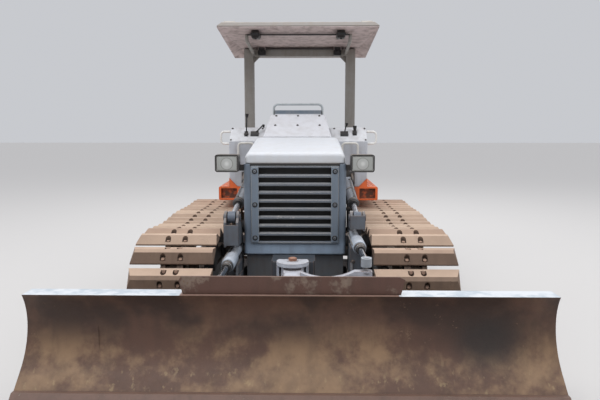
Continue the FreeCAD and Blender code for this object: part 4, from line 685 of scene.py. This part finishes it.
trim = []
for x in (-0.40, -0.14, 0.14, 0.40):
    for z in (low[2] + 0.05, 1.22):
        trim.append(bolt((x, high[1], z), (0, 1, 0), 0.016))
piece("tank_bolts", trim, frame_bolts)

# Cowl and dash
# The narrower cover behind the hood has two rows of black bolts, and behind it the dash box turns a slate
# panel of gauges to the operator, under a bent hand rail.


def make_cowl_paint():
    """Grey-white paint, with the dash box above it in slate."""
    grey_white = (204, 205, 210)
    material = worn("cowl_paint", grey_white, bare=(118, 108, 100), dust=(186, 180, 172),
                    grime=(150, 144, 138), wear=0.3, chips=0.08, dusting=0.1, stain=0.25, matt=0.42, bump=0.1)
    at = Retouch(material)
    dash_box = at.z.eased(1.514, 1.517) * at.y.eased(0.488, 0.491)
    slate = at.z.calc("MAXIMUM", dash_box, at.y.eased(0.506, 0.509))
    at["Paint"] = slate.lays(grey_white, (92, 104, 116))
    return material


dress(make_cowl_paint(), "cowl")
dress(worn("panel_paint", (198, 198, 203), bare=(110, 100, 92), dust=(186, 176, 164),
                   grime=(128, 118, 108), wear=0.5, chips=0.18, dusting=0.25, stain=0.45, matt=0.45,
                   bump=0.15),
      "side_panels")
dress(worn("rail_paint", (168, 176, 180), bare=(110, 96, 86), dusting=0.2, wear=0.6, chips=0.25,
                  stain=0.3, matt=0.4), "dash_rail")
black_screw = worn("black_screw", (30, 31, 34), bare=(90, 88, 86), dusting=0.12, wear=0.5, chips=0.1,
                   stain=0.0, matt=0.4)
screws = []
for y, z in ((0.3204, 1.4226), (0.4772, 1.4989)):
    for x in (-0.174, 0.0, 0.172):
        screws.append(bolt((x, y, z), (0, -0.4375, 0.8992), 0.0135, 0.007))
piece("cowl_bolts", screws, black_screw)
panel_out = Vector((0, 60, 42.75)).normalized()
panel_mid = Vector((0, 0.5736, 1.515))
gauge_rims, gauge_faces = [], []
for x, size in ((-0.125, 0.027), (-0.055, 0.027), (0.015, 0.022), (0.070, 0.022)):
    spot = panel_mid + Vector((x, 0, 0))
    gauge_rims.append(turned(spot, panel_out, [(-0.002, size), (0.005, size), (0.006, size * 0.92),
                                               (0.002, size * 0.86)], 24))
    gauge_faces.append(turned(spot, panel_out, [(-0.001, size * 0.87), (0.0025, size * 0.87)], 24))
gauge_rims.append(turned(panel_mid + Vector((0.130, 0, 0)), panel_out, [(-0.002, 0.014), (0.006, 0.014),
                                                                         (0.010, 0.011), (0.010, 0.006)], 20))
piece("gauge_rims", gauge_rims, black_screw, True)
gauge_glass = worn("gauge_glass", (205, 206, 200), dusting=0.3, wear=0.0, chips=0.0, stain=0.1, matt=0.15,
                   bump=0.05)
piece("gauge_faces", gauge_faces, gauge_glass)
latches = []
for side in (-1, 1):
    left, right = sorted((side * 0.326, side * 0.334))
    for y in (-0.19, 0.40):
        latches.append(block((left, y, 1.120), (right, y + 0.022, 1.160), 0.002))
        latches.append(bolt((side * 0.326, y + 0.011, 0.70), (side, 0, 0), 0.016))
piece("panel_latches", latches, black_screw)

# Fender steps
# Orange boxes over the tracks beside the floor, with a rusty recess in front, gussets above, and rows of
# punched dimples on top to stand on.


def make_orange_paint():
    """Orange paint, gone to rust inside the recess."""
    orange = (232, 106, 48)
    material = worn("orange_paint", orange, bare=(112, 66, 44), dust=(188, 160, 136),
                    grime=(110, 58, 34), wear=0.7, chips=0.26, dusting=0.22, stain=0.4, matt=0.5)
    at = Retouch(material)
    across = abs(at.x)
    wide = across.eased(0.503, 0.508) * across.eased(0.632, 0.637, 1.0, 0.0)
    high = at.z.eased(0.826, 0.830) * at.z.eased(0.907, 0.911, 1.0, 0.0)
    deep = at.y.eased(0.514, 0.535) * at.y.eased(0.5427, 0.5433, 1.0, 0.0)
    patchy = at.spot.noise(30.0, 4.0).eased(0.36, 0.6)
    rusty = (wide * high * deep * (0.35 + patchy)).clamped()
    at["Paint"] = rusty.lays(orange, (86, 50, 34))
    return material


orange_paint = make_orange_paint()
dress(orange_paint, "fender_steps")
dimples = []
for side in (-1, 1):
    for row in range(4):
        for column in range(7):
            x = side * (0.590 + 0.016 * row)
            y = 0.60 + 0.085 * column + (0.042 if row % 2 else 0.0)
            dimples.append(turned((x, y, 0.9245), (0, 0, 1), [(0.0, 0.009), (0.003, 0.007), (0.0035, 0.004),
                                                              (0.001, 0.003)], 10))
piece("step_dimples", dimples, orange_paint, True)

# Consoles and levers
# Pale boxes either side of the operator. Their sloped lids are held by dark screws, and black levers stand in
# rubber boots on them. The grab handles are white and the hoops in front grey.


def make_console_paint():
    """Grey-lilac paint on the boxes, whiter on the lids and on the grab handles."""
    material = worn("console_paint", (188, 189, 200), bare=(104, 92, 84), dust=(182, 174, 166),
                    grime=(132, 124, 120), wear=0.4, chips=0.12, dusting=0.12, stain=0.35, matt=0.42,
                    bump=0.15)
    at = Retouch(material)
    lid = at.z.eased(1.288, 1.300).lays((184, 187, 194), (204, 206, 210))
    hoop = at.y.eased(0.516, 0.5195, 1.0, 0.0).lays(lid, (212, 210, 204))
    at["Paint"] = abs(at.x).eased(0.566, 0.570).lays(hoop, (228, 226, 222))
    return material


dress(make_console_paint(), "console_right", "console_left")
black_plastic = worn("black_plastic", (18, 18, 20), bare=(40, 40, 42), dusting=0.04, wear=0.3, chips=0.0,
                     stain=0.0, matt=0.38)
dress(black_plastic, "levers")
lid_slope = 0.7533
lid_out = (0, -0.6017, 0.7987)
lid_screws = []
for side in (-1, 1):
    for x, y in ((0.552, 0.535), (0.552, 0.657), (0.300, 0.657), (0.300, 0.535)):
        z = 1.295 + (y - 0.520) * lid_slope
        lid_screws.append(bolt((side * x, y, z), lid_out, 0.0125, 0.006))
    for y in (0.60, 1.02):
        lid_screws.append(bolt((side * 0.567, y, 0.98), (side, 0, 0), 0.016))
piece("console_screws", lid_screws, black_screw)
boots = []
boot_radius = 0.014
for x, y in ((-0.431, 0.590), (0.466, 0.600)):
    z = 1.2955 + (y - 0.520) * lid_slope
    for level, share in ((0.0, 1.25), (0.004, 1.15), (0.008, 1.25)):
        radius = boot_radius * share
        boots.append(turned(Vector((x, y, z)) + Vector(lid_out) * level, lid_out,
                            [(0.0, radius), (0.002, radius + 0.001), (0.004, radius)], 20))
piece("lever_boots", boots, black_plastic, True)
pads = []
for side in (-1, 1):
    left, right = sorted((side * 0.290, side * 0.540))
    pads.append(block((left, 0.835, 1.2895), (right, 1.065, 1.3145), 0.010))
piece("arm_pads", pads, black_plastic, True)

# Seat
# A pedestal with a padded cushion and back in black vinyl. Each pad is blown up by a cloth simulation, then
# its sewn channels are pressed in. Slide rails join the cushion to the pedestal.
seat_vinyl = worn("seat_vinyl", (34, 33, 35), bare=(70, 66, 62), dust=(126, 116, 106), dusting=0.22,
                  wear=0.3, chips=0.05, stain=0.1, matt=0.45, bump=0.25)
channel_depth = 0.006
channel_width = 0.008


def blown_pad(name, shape, limit, flat_low):
    """A pad made from a plain form by pressure in a cloth simulation. It stays flat below a height."""
    mesh = bpy.data.meshes.new(name)
    mesh.from_pydata([tuple(point) for point in shape[0]], [], shape[1])
    made = bpy.data.objects.new(name, mesh)
    bpy.context.collection.objects.link(made)
    remesh = made.modifiers.new("remesh", "REMESH")
    remesh.mode = "VOXEL"
    remesh.voxel_size = 0.0065
    start = bpy.data.meshes.new_from_object(evaluated(made))
    made.modifiers.clear()
    made.data = start
    before = [vertex.co.copy() for vertex in start.vertices]
    after = before
    cloth = made.modifiers.new("cloth", "CLOTH")
    cloth.settings.use_pressure = True
    cloth.settings.uniform_pressure_force = 4.0
    cloth.settings.effector_weights.gravity = 0.0
    cloth.point_cache.frame_start = 1
    cloth.point_cache.frame_end = 20
    for step in range(1, 21):
        bpy.context.scene.frame_set(step)
    swollen = evaluated(made).data
    after = [vertex.co.copy() for vertex in swollen.vertices]
    made.modifiers.clear()
    bpy.context.scene.frame_set(1)
    for vertex, old, new in zip(start.vertices, before, after):
        move = new - old
        if move.length > limit:
            move *= limit / move.length
        spot = old + move
        spot.z = max(spot.z, flat_low)
        for line in (-0.075, 0.075):
            press = math.exp(-((spot.x - line) / channel_width) ** 2)
            spot -= vertex.normal * channel_depth * press
        vertex.co = spot
    finer = made.modifiers.new("finer", "SUBSURF")
    finer.levels = 1
    finer.render_levels = 1
    smooth = bpy.data.meshes.new_from_object(evaluated(made))
    made.modifiers.clear()
    made.data = smooth
    smooth.materials.clear()
    smooth.materials.append(seat_vinyl)
    smooth.shade_smooth()
    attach(made, "root")
    return made


low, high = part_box("seat_cushion")
cushion = blown_pad("seat_cushion_pad", block((low[0] + 0.016, low[1] + 0.016, low[2] + 0.001),
                                              (high[0] - 0.016, high[1] - 0.012, high[2] - 0.020), 0.022),
                    0.022, low[2] + 0.001)
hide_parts("seat_cushion")
low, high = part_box("seat_back")
lean = 0.040
thick = 0.095
back_rings = []
for z, grow in ((low[2] + 0.014, -0.016), (low[2] + 0.034, 0.0), (high[2] - 0.038, 0.0),
                (high[2] - 0.016, -0.018)):
    share = (z - low[2]) / (high[2] - low[2])
    y0 = low[1] + lean * share + 0.014 - grow * 0.5
    y1 = y0 + thick - 0.028 + grow
    back_rings.append(box_ring(low[0] + 0.016 - grow, high[0] - 0.016 + grow, y0, y1, z, 0.020))
back_pad = blown_pad("seat_back_pad", lofted(back_rings), 0.016, low[2] + 0.002)
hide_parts("seat_back")
low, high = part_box("seat_base")
release = pipe([(0.12, low[1] + 0.01, high[2] - 0.03), (0.12, low[1] - 0.004, high[2] - 0.03),
                (0.19, low[1] - 0.004, high[2] - 0.03)], 0.005)
piece("seat_release", [release], black_screw, True)

# Canopy
# A pressed roof pan on two posts, a beam and bent stays, all greyed cream paint; the posts, beam and stays are
# painted darker as painted shade under the roof. Its lining is stained grey board, hung from four black mounts
# with a thin rod between each front and rear pair.


def make_canopy_paint():
    """Cream paint, greyer and less dusty on the front lip."""
    cream = (176, 171, 163)
    material = worn("canopy_paint", cream, bare=(124, 100, 82), dust=(172, 160, 148), grime=(132, 118, 104),
                    wear=0.4, chips=0.14, dusting=0.22, stain=0.42, matt=0.48, bump=0.15)
    at = Retouch(material)
    front_lip = at.y.eased(0.482, 0.490, 1.0, 0.0)
    at["Paint"] = front_lip.lays(cream, (134, 129, 124))
    at["Dusting"] = 0.22 - front_lip * 0.16
    return material


dress(make_canopy_paint(), "canopy_roof")
# Painted shade: the posts, beam and stays carry the canopy's cream painted darker, as under the roof.
dress(worn("shaded_post_paint", (144, 141, 136), bare=(118, 98, 82), dust=(164, 154, 142),
                  grime=(116, 104, 92), wear=0.45, chips=0.16, dusting=0.2, stain=0.42, matt=0.48, bump=0.15),
      "canopy_frame")
dress(worn("liner_board", (200, 184, 182), bare=(120, 104, 96), dust=(150, 140, 134),
                   grime=(96, 80, 74), wear=0.2, chips=0.2, dusting=0.1, stain=0.55, matt=0.7, bump=0.2),
      "roof_liner")
mount_forms, tie_forms = [], []
for x in (-0.345, 0.345):
    mount_forms.append(block((x - 0.036, 0.508, 2.130), (x + 0.036, 0.682, 2.166), 0.008))
    mount_forms.append(block((x - 0.030, 0.520, 2.120), (x + 0.030, 0.600, 2.182), 0.006))
    mount_forms.append(block((x - 0.035, 1.150, 2.062), (x + 0.035, 1.2045, 2.141), 0.008))
    mount_forms.append(bolt((x, 0.560, 2.120), (0, 0, -1), 0.018))
    mount_forms.append(bolt((x, 1.150, 2.098), (0, -1, 0), 0.018))
for y, z, half in ((0.600, 2.156, 0.415), (1.176, 2.122, 0.400)):
    tie_forms.append(rod((-half, y, z), (half, y, z), 0.007, 12))
piece("roof_mounts", mount_forms, black_plastic)
piece("roof_ties", tie_forms, ear_paint, True)
forms = []
for side in (-1, 1):
    for x in (0.430, 0.592):
        for y in (1.189, 1.310):
            forms.append(bolt((side * x, y, 0.9415), (0, 0, 1), 0.020))
piece("post_bolts", forms, frame_bolts)

# Headlights
# Two rectangular lamps in thin black frames. Each lens is opaque, and the round reflector that sits in a pale
# bowl behind it is painted on its face as painted reflection; a pale rim runs round the lens.


def distance(first, second):
    """How far two offsets reach together."""
    return first.calc("SQRT", first * first + second * second)


lamp_x = 0.434


def make_lens_glass():
    """The lamp's fluted glass as an opaque colour with a painted reflection: brighter over the round reflector,
    brightest at its middle, and a darker ring at the reflector's edge.
    """
    material = worn("lens_glass", (168, 168, 160), dust=(150, 144, 134), grime=(120, 118, 112), wear=0.0,
                    chips=0.0, dusting=0.12, stain=0.15, matt=0.18, bump=0.05)
    at = Retouch(material)
    radius = distance(abs(at.x) - lamp_x, at.z - 1.172)
    # Painted reflection: the reflector's brighter disc, its brightest middle and a darker ring at its edge.
    paint = radius.eased(0.034, 0.040, 1.0, 0.0).lays((164, 166, 162), (180, 181, 178))
    paint = radius.eased(0.004, 0.022, 1.0, 0.0).lays(paint, (206, 207, 204))
    ring = radius.eased(0.033, 0.037) * radius.eased(0.038, 0.042, 1.0, 0.0)
    at["Paint"] = (ring * 0.6).lays(paint, (112, 112, 106))
    return material


dress(worn("lamp_plastic", (38, 40, 42), bare=(90, 92, 94), dusting=0.25, wear=0.5, chips=0.05,
                    stain=0.1, matt=0.45), "headlights")
lens_glass = make_lens_glass()
lens_corner = 0.013
lens_rings, lens_forms = [], []
for side in (-1, 1):
    centre = Vector((side * lamp_x, -0.532, 1.175))
    outline = []
    for corner, (sign_x, sign_z) in enumerate(((1, 1), (-1, 1), (-1, -1), (1, -1))):
        for step in range(5):
            angle = math.pi / 2 * (corner + step / 4)
            outline.append((sign_x * 0.053 + lens_corner * math.cos(angle),
                            sign_z * 0.033 + lens_corner * math.sin(angle)))
    rings = []
    for depth, share in ((0.014, 1.0), (0.006, 1.0), (0.003, 0.97), (0.0015, 0.75), (0.001, 0.4)):
        rings.append([(centre.x + share * x, centre.y + depth, centre.z + share * z) for x, z in outline])
    lens_forms.append(lofted(rings))
    edge = []
    for depth, share_x, share_z in ((0.013, 1.0, 1.0), (0.003, 1.0, 1.0), (0.003, 1.05, 1.07),
                                    (0.013, 1.05, 1.07)):
        edge.append([(centre.x + share_x * x, centre.y + depth, centre.z + share_z * z) for x, z in outline])
    lens_rings.append(lofted(edge, True))
piece("lens_glass", lens_forms, lens_glass, True)
bezel_paint = worn("bezel_paint", (196, 196, 190), dusting=0.2, wear=0.2, chips=0.05, stain=0.2, matt=0.35)
piece("lens_bezels", lens_rings, bezel_paint)

# Blade linkage
# The C-frame that carries the blade, its nose, the yoke that angles on it, and the five rams that move it.
# Dark gland rings close the pale barrels, and chrome rods shine where they slide.
dress(worn("bracket_paint", (90, 98, 108), dusting=0.3, wear=0.7, chips=0.25, stain=0.4, matt=0.48),
      "push_arm_left", "push_arm_right")


def make_nose_steel():
    """Pale steel on the half-round cap and its cheeks, slate paint on the beam behind them."""
    pale = (184, 189, 198)
    material = worn("nose_steel", pale, bare=(126, 104, 92), grime=(84, 76, 72), dusting=0.15,
                    wear=0.7, chips=0.25, stain=0.35, matt=0.44)
    at = Retouch(material)
    at["Paint"] = at.y.eased(-0.912, -0.906).lays(pale, (60, 66, 73))
    at["Dusting"] = at.y.eased(-0.912, -0.906, 0.15, 0.0)
    return material


dress(make_nose_steel(), "c_frame_nose")
dress(worn("lift_barrel_paint", (124, 133, 145), bare=(104, 92, 84), dust=(176, 172, 168),
                  dusting=0.3, wear=0.5, chips=0.15, stain=0.35, matt=0.42, bump=0.15),
      "lift_barrel_left", "lift_barrel_right")
cylinder_paint = worn("cylinder_paint", (176, 186, 198), bare=(104, 92, 84), dusting=0.15, wear=0.45,
                      chips=0.15, stain=0.3, matt=0.36, bump=0.15)
dress(cylinder_paint, "angle_barrel_left", "angle_barrel_right", "tilt_barrel")


def make_rod_steel(name, axis, eye_start, eye_end, eye_paint):
    """Hard chrome along a ram's rod, paint on the eye at its end."""
    chrome = (214, 216, 220)
    material = worn(name, chrome, bare=(150, 150, 150), dusting=0.02, wear=0.1, chips=0.0,
                    stain=0.05, matt=0.14, bump=0.02)
    at = Retouch(material)
    painted = at.spot.axes()[axis].eased(eye_start, eye_end)
    at["Paint"] = painted.lays(chrome, eye_paint)
    at["Matt"] = 0.14 + painted * 0.34
    at["Wear"] = painted * 0.4
    feed(at.shader["Metallic"], 1.0 - painted)
    return material


dress(make_rod_steel("lift_rod_steel", 1, -0.508, -0.516, (94, 102, 114)),
      "lift_rod_left", "lift_rod_right")
dress(make_rod_steel("angle_rod_steel", 1, -1.054, -1.060, (158, 164, 170)),
      "angle_rod_left", "angle_rod_right")
dress(make_rod_steel("tilt_rod_steel", 0, 0.262, 0.268, (140, 148, 156)), "tilt_rod")
dress(worn("worn_steel", (186, 189, 198), bare=(134, 102, 88), grime=(98, 82, 74), dusting=0.1,
                  wear=0.6, chips=0.35, stain=0.4, matt=0.42), "angle_yoke")
gland_black = worn("gland_black", (40, 43, 47), bare=(96, 92, 88), dusting=0.2, wear=0.6, chips=0.15,
                   stain=0.2, matt=0.42)
line_steel = worn("line_steel", (110, 112, 114), bare=(120, 90, 74), dusting=0.25, wear=0.6, chips=0.4,
                  metal=0.5, matt=0.4)
# Each barrel's name, base and eye, its length, radius and rod's radius, and the side its oil line is on
rams = (("lift_barrel_left", (-0.400, 0.420, 0.975), (-0.400, -0.560, 0.832), 0.668, 0.0375, 0.018, (-0.3, 0, 1)),
        ("lift_barrel_right", (0.400, 0.420, 0.975), (0.400, -0.560, 0.832), 0.668, 0.0375, 0.018, (0.3, 0, 1)),
        ("angle_barrel_left", (-0.38, -0.40, 0.605), (-0.408, -1.1, 0.555), 0.450, 0.032, 0.017, (-1, 0, 0.6)),
        ("angle_barrel_right", (0.38, -0.40, 0.712), (0.408, -1.1, 0.668), 0.450, 0.032, 0.017, (-1, 0, 0.3)),
        ("tilt_barrel", (-0.300, -1.172, 0.525), (0.300, -1.172, 0.560), 0.330, 0.031, 0.015, (0, 0.3, 1)))
sleeve_radius = 0.041
for body, base, eye, length, radius, rod_radius, toward in rams:
    base, along = Vector(base), (Vector(eye) - Vector(base)).normalized()
    up = (Vector(toward) - along * along.dot(Vector(toward))).normalized()
    end = length + 0.0005
    gland_profile = [(length - 0.034, radius - 0.001), (length - 0.034, radius + 0.003),
                     (length - 0.006, radius + 0.003), (end, radius - 0.002), (end + 0.004, radius * 0.78),
                     (end + 0.010, radius * 0.74), (end + 0.010, rod_radius + 0.0012),
                     (length - 0.004, rod_radius + 0.0012)]
    gland = turned(base, along, gland_profile, 32, True)
    piece(body + "_gland", [gland], gland_black, True, body)
    if body.startswith("angle"):
        sleeve_profile = [(0.250, radius - 0.003), (0.252, sleeve_radius - 0.002), (0.256, sleeve_radius),
                          (length - 0.046, sleeve_radius), (length - 0.042, sleeve_radius - 0.003),
                          (length - 0.040, radius - 0.003)]
        sleeve = turned(base, along, sleeve_profile, 40, True)
        piece(body + "_sleeve", [sleeve], cylinder_paint, True, body)
    line_z = radius + 0.010
    near, far = base + along * 0.085, base + along * (length - 0.060)
    line = pipe([near + up * (radius - 0.004), near + up * line_z, near + up * line_z + along * 0.03,
                 far + up * line_z - along * 0.03, far + up * line_z, far + up * (radius - 0.004)], 0.0045)
    ports = []
    for spot in (near, far):
        port_foot = spot + up * (radius - 0.006)
        ports.append(turned(port_foot, up, [(0.0, 0.011), (0.010, 0.011), (0.012, 0.009)], 6))
    strap_foot = (near + far) / 2 - along * 0.008
    strap_profile = [(0.0, radius - 0.002), (0.0, radius + 0.0015), (0.016, radius + 0.0015),
                     (0.016, radius - 0.002)]
    strap = turned(strap_foot, along, strap_profile, 32, True)
    piece(body + "_line", [line] + ports + [strap], line_steel, True, body)
nut = turned((0, -0.960, 0.6385), (0, 0, 1), [(0.0, 0.030), (0.004, 0.030), (0.004, 0.0245), (0.020, 0.0245),
                                              (0.0225, 0.019)], 6)
rusty_bolt = worn("rusty_bolt", (150, 100, 78), bare=(176, 124, 96), dusting=0.2, wear=0.6, chips=0.4,
                  matt=0.6)
piece("nose_nut", [nut], rusty_bolt, body="c_frame")
forms = []
for side in (-1, 1):
    for z in (0.50, 0.56):
        for x in (0.372, 0.428):
            forms.append(bolt((side * x, -0.6265, z), (0, -1, 0), 0.018))
    forms.append(turned((side * 0.4545, 0.300, 0.300), (side, 0, 0), [(-0.002, 0.045), (0.004, 0.045),
                                                                       (0.007, 0.041), (0.007, 0.012)], 24))
piece("arm_bolts", forms, frame_bolts, body="c_frame")

# Blade
# A rolled moldboard with a welded back, all brown with patches where golden rust shows, a dark patch at one
# side and a painted reflection of the sky on the flange on top. The spill guard is redder, scraped pale along its
# face.


def make_blade_steel(name, red_guard):
    """Bare brown steel with golden rust below, dark streaks above and a painted reflection of the sky on the
    flange.
    """
    material = worn(name, (84, 64, 54), bare=(104, 80, 62), dust=(132, 110, 90), grime=(52, 36, 30),
                    wear=0.45, chips=0.35, dusting=0.12, stain=0.3, matt=0.56, bump=0.5)
    at = Retouch(material)
    fine = at.spot.noise(9.0, 5.0, 0.62)
    grain = at.spot.noise(2.1, 5.0, 0.6) * 0.6 + fine * 0.4
    gold = grain.eased(0.44, 0.60) * at.z.eased(0.26, 0.50, 1.0, 0.15)
    paint = gold.lays((84, 57, 44), (136, 108, 80))
    moved = add_node(at.tree, "VectorMath", {0: at.spot, 1: (3.7, 1.3, 5.1)}, operation="ADD")
    dark = moved.noise(2.6, 4.0, 0.6).eased(0.38, 0.58) * at.z.eased(0.30, 0.5, 0.1, 1.0)
    paint = (dark * 0.85).lays(paint, (40, 24, 18))
    upright = add_node(at.tree, "Mapping", {"Vector": at.spot, "Scale": (30.0, 30.0, 4.0)})
    drips = upright.noise(1.0, 3.0, 0.6).eased(0.58, 0.72) * at.z.eased(0.18, 0.34, 1.0, 0.0)
    paint = (drips * 0.5).lays(paint, (158, 136, 100))
    # A dark patch towards the right side of the blade.
    reach = distance((at.x - 0.962) * 0.75, at.z - 0.372)
    paint = (reach.eased(0.04, 0.19, 1.0, 0.0) * 0.95).lays(paint, (33, 26, 24))
    if red_guard:
        scraped = at.spot.noise(6.5, 5.0, 0.65).eased(0.56, 0.66) * 0.7
        guard_colour = scraped.lays((84, 56, 46), (134, 118, 104))
        paint = at.z.eased(0.606, 0.609).lays(paint, guard_colour)
    at["Paint"] = paint
    # Painted reflection: flange faces that look up take a pale sky colour, and a pinkish one within 0.52 m of the
    # middle, on the guard's top edge too.
    level = looks_up(at.tree).eased(0.93, 0.98) * at.z.eased(0.597, 0.602)
    sky_reflection = fine.eased(0.42, 0.62).lays((206, 210, 214), (174, 184, 192))
    sky_reflection = abs(at.x).eased(0.520, 0.527).lays((132, 106, 94), sky_reflection)
    below = Value(at.wear.outputs["Color"])
    feed(at.shader["Base Color"], (level * 0.9).lays(below, sky_reflection))
    return material


dress(make_blade_steel("blade_steel", False), "moldboard")
dress(make_blade_steel("blade_back_steel", True), "blade_back")
edge_steel = worn("edge_steel", (102, 76, 66), bare=(132, 118, 106), dust=(138, 118, 100),
                  grime=(62, 48, 42), wear=0.7, chips=0.45, dusting=0.15, stain=0.4, metal=0.4, matt=0.5)
dress(edge_steel, "cutting_edge")
plow_bolts = []
slant = math.radians(40)
edge_out = (0, -math.cos(slant), math.sin(slant))
foot_z = 0.100
foot_y = frame_box[0][1] + foot_z * math.tan(slant)
head_profile = [(-0.002, 0.013), (0.0015, 0.013), (0.003, 0.010), (0.003, 0.0)]
for index in range(14):
    plow_bolts.append(turned((-1.235 + 0.19 * index, foot_y, foot_z), edge_out, head_profile))
piece("plow_bolts", plow_bolts, edge_steel, True, "blade")

# Floor, light and camera
# A pale studio floor under a soft even sky, and the photograph's camera in front of the blade.
floor_mesh = bpy.data.meshes.new("studio_floor")
floor_reach = 60.0
floor_mesh.from_pydata([(-floor_reach, -floor_reach, 0), (floor_reach, -floor_reach, 0),
                        (floor_reach, floor_reach, 0), (-floor_reach, floor_reach, 0)], [], [(0, 1, 2, 3)])
studio_floor = bpy.data.objects.new("studio_floor", floor_mesh)
bpy.context.collection.objects.link(studio_floor)
floor_paint = bpy.data.materials.new("floor_paint")
floor_paint.use_nodes = True
floor_paint.node_tree.nodes["Principled BSDF"].inputs["Base Color"].default_value = (0.52, 0.505, 0.49, 1)
floor_paint.node_tree.nodes["Principled BSDF"].inputs["Roughness"].default_value = 0.9
floor_mesh.materials.append(floor_paint)

sky = bpy.data.worlds.new("studio_sky")
bpy.context.scene.world = sky
sky.use_nodes = True
sky_tree = sky.node_tree
backdrop = sky_tree.nodes["Background"].inputs
backdrop["Color"].default_value = (0.93, 0.95, 1.0, 1)
seen = add_node(sky_tree, "LightPath", output="Is Camera Ray")
overcast = add_node(sky_tree, "TexCoord", output="Generated").axes()[2].eased(-0.1, 0.8, 0.42, 1.15)
feed(backdrop["Strength"], overcast + seen * (0.62 - overcast))
for name, place, size, power in (("key", (-3.0, -3.5, 8.5), 5.0, 330), ("fill", (5.5, -3.0, 5.0), 5.0, 80),
                                 ("back", (1.0, 5.5, 7.5), 5.0, 240)):
    lamp = bpy.data.lights.new(name, "AREA")
    lamp.size = size
    lamp.energy = power
    lamp_object = bpy.data.objects.new(name, lamp)
    bpy.context.collection.objects.link(lamp_object)
    lamp_object.location = place
    aim = Vector((0, 0, 0.9)) - Vector(place)
    lamp_object.rotation_euler = aim.to_track_quat("-Z", "Y").to_euler()

camera_data = bpy.data.cameras.new("photo_camera")
camera_data.sensor_width = 36.0
camera_data.lens = 34.36
camera = bpy.data.objects.new("photo_camera", camera_data)
bpy.context.collection.objects.link(camera)
camera.location = (0.100, -4.179, 1.385)
camera.rotation_euler = (math.pi / 2 - 0.1212, 0.0, 0.018)
bpy.context.scene.camera = camera
bpy.context.scene.view_settings.view_transform = "Standard"
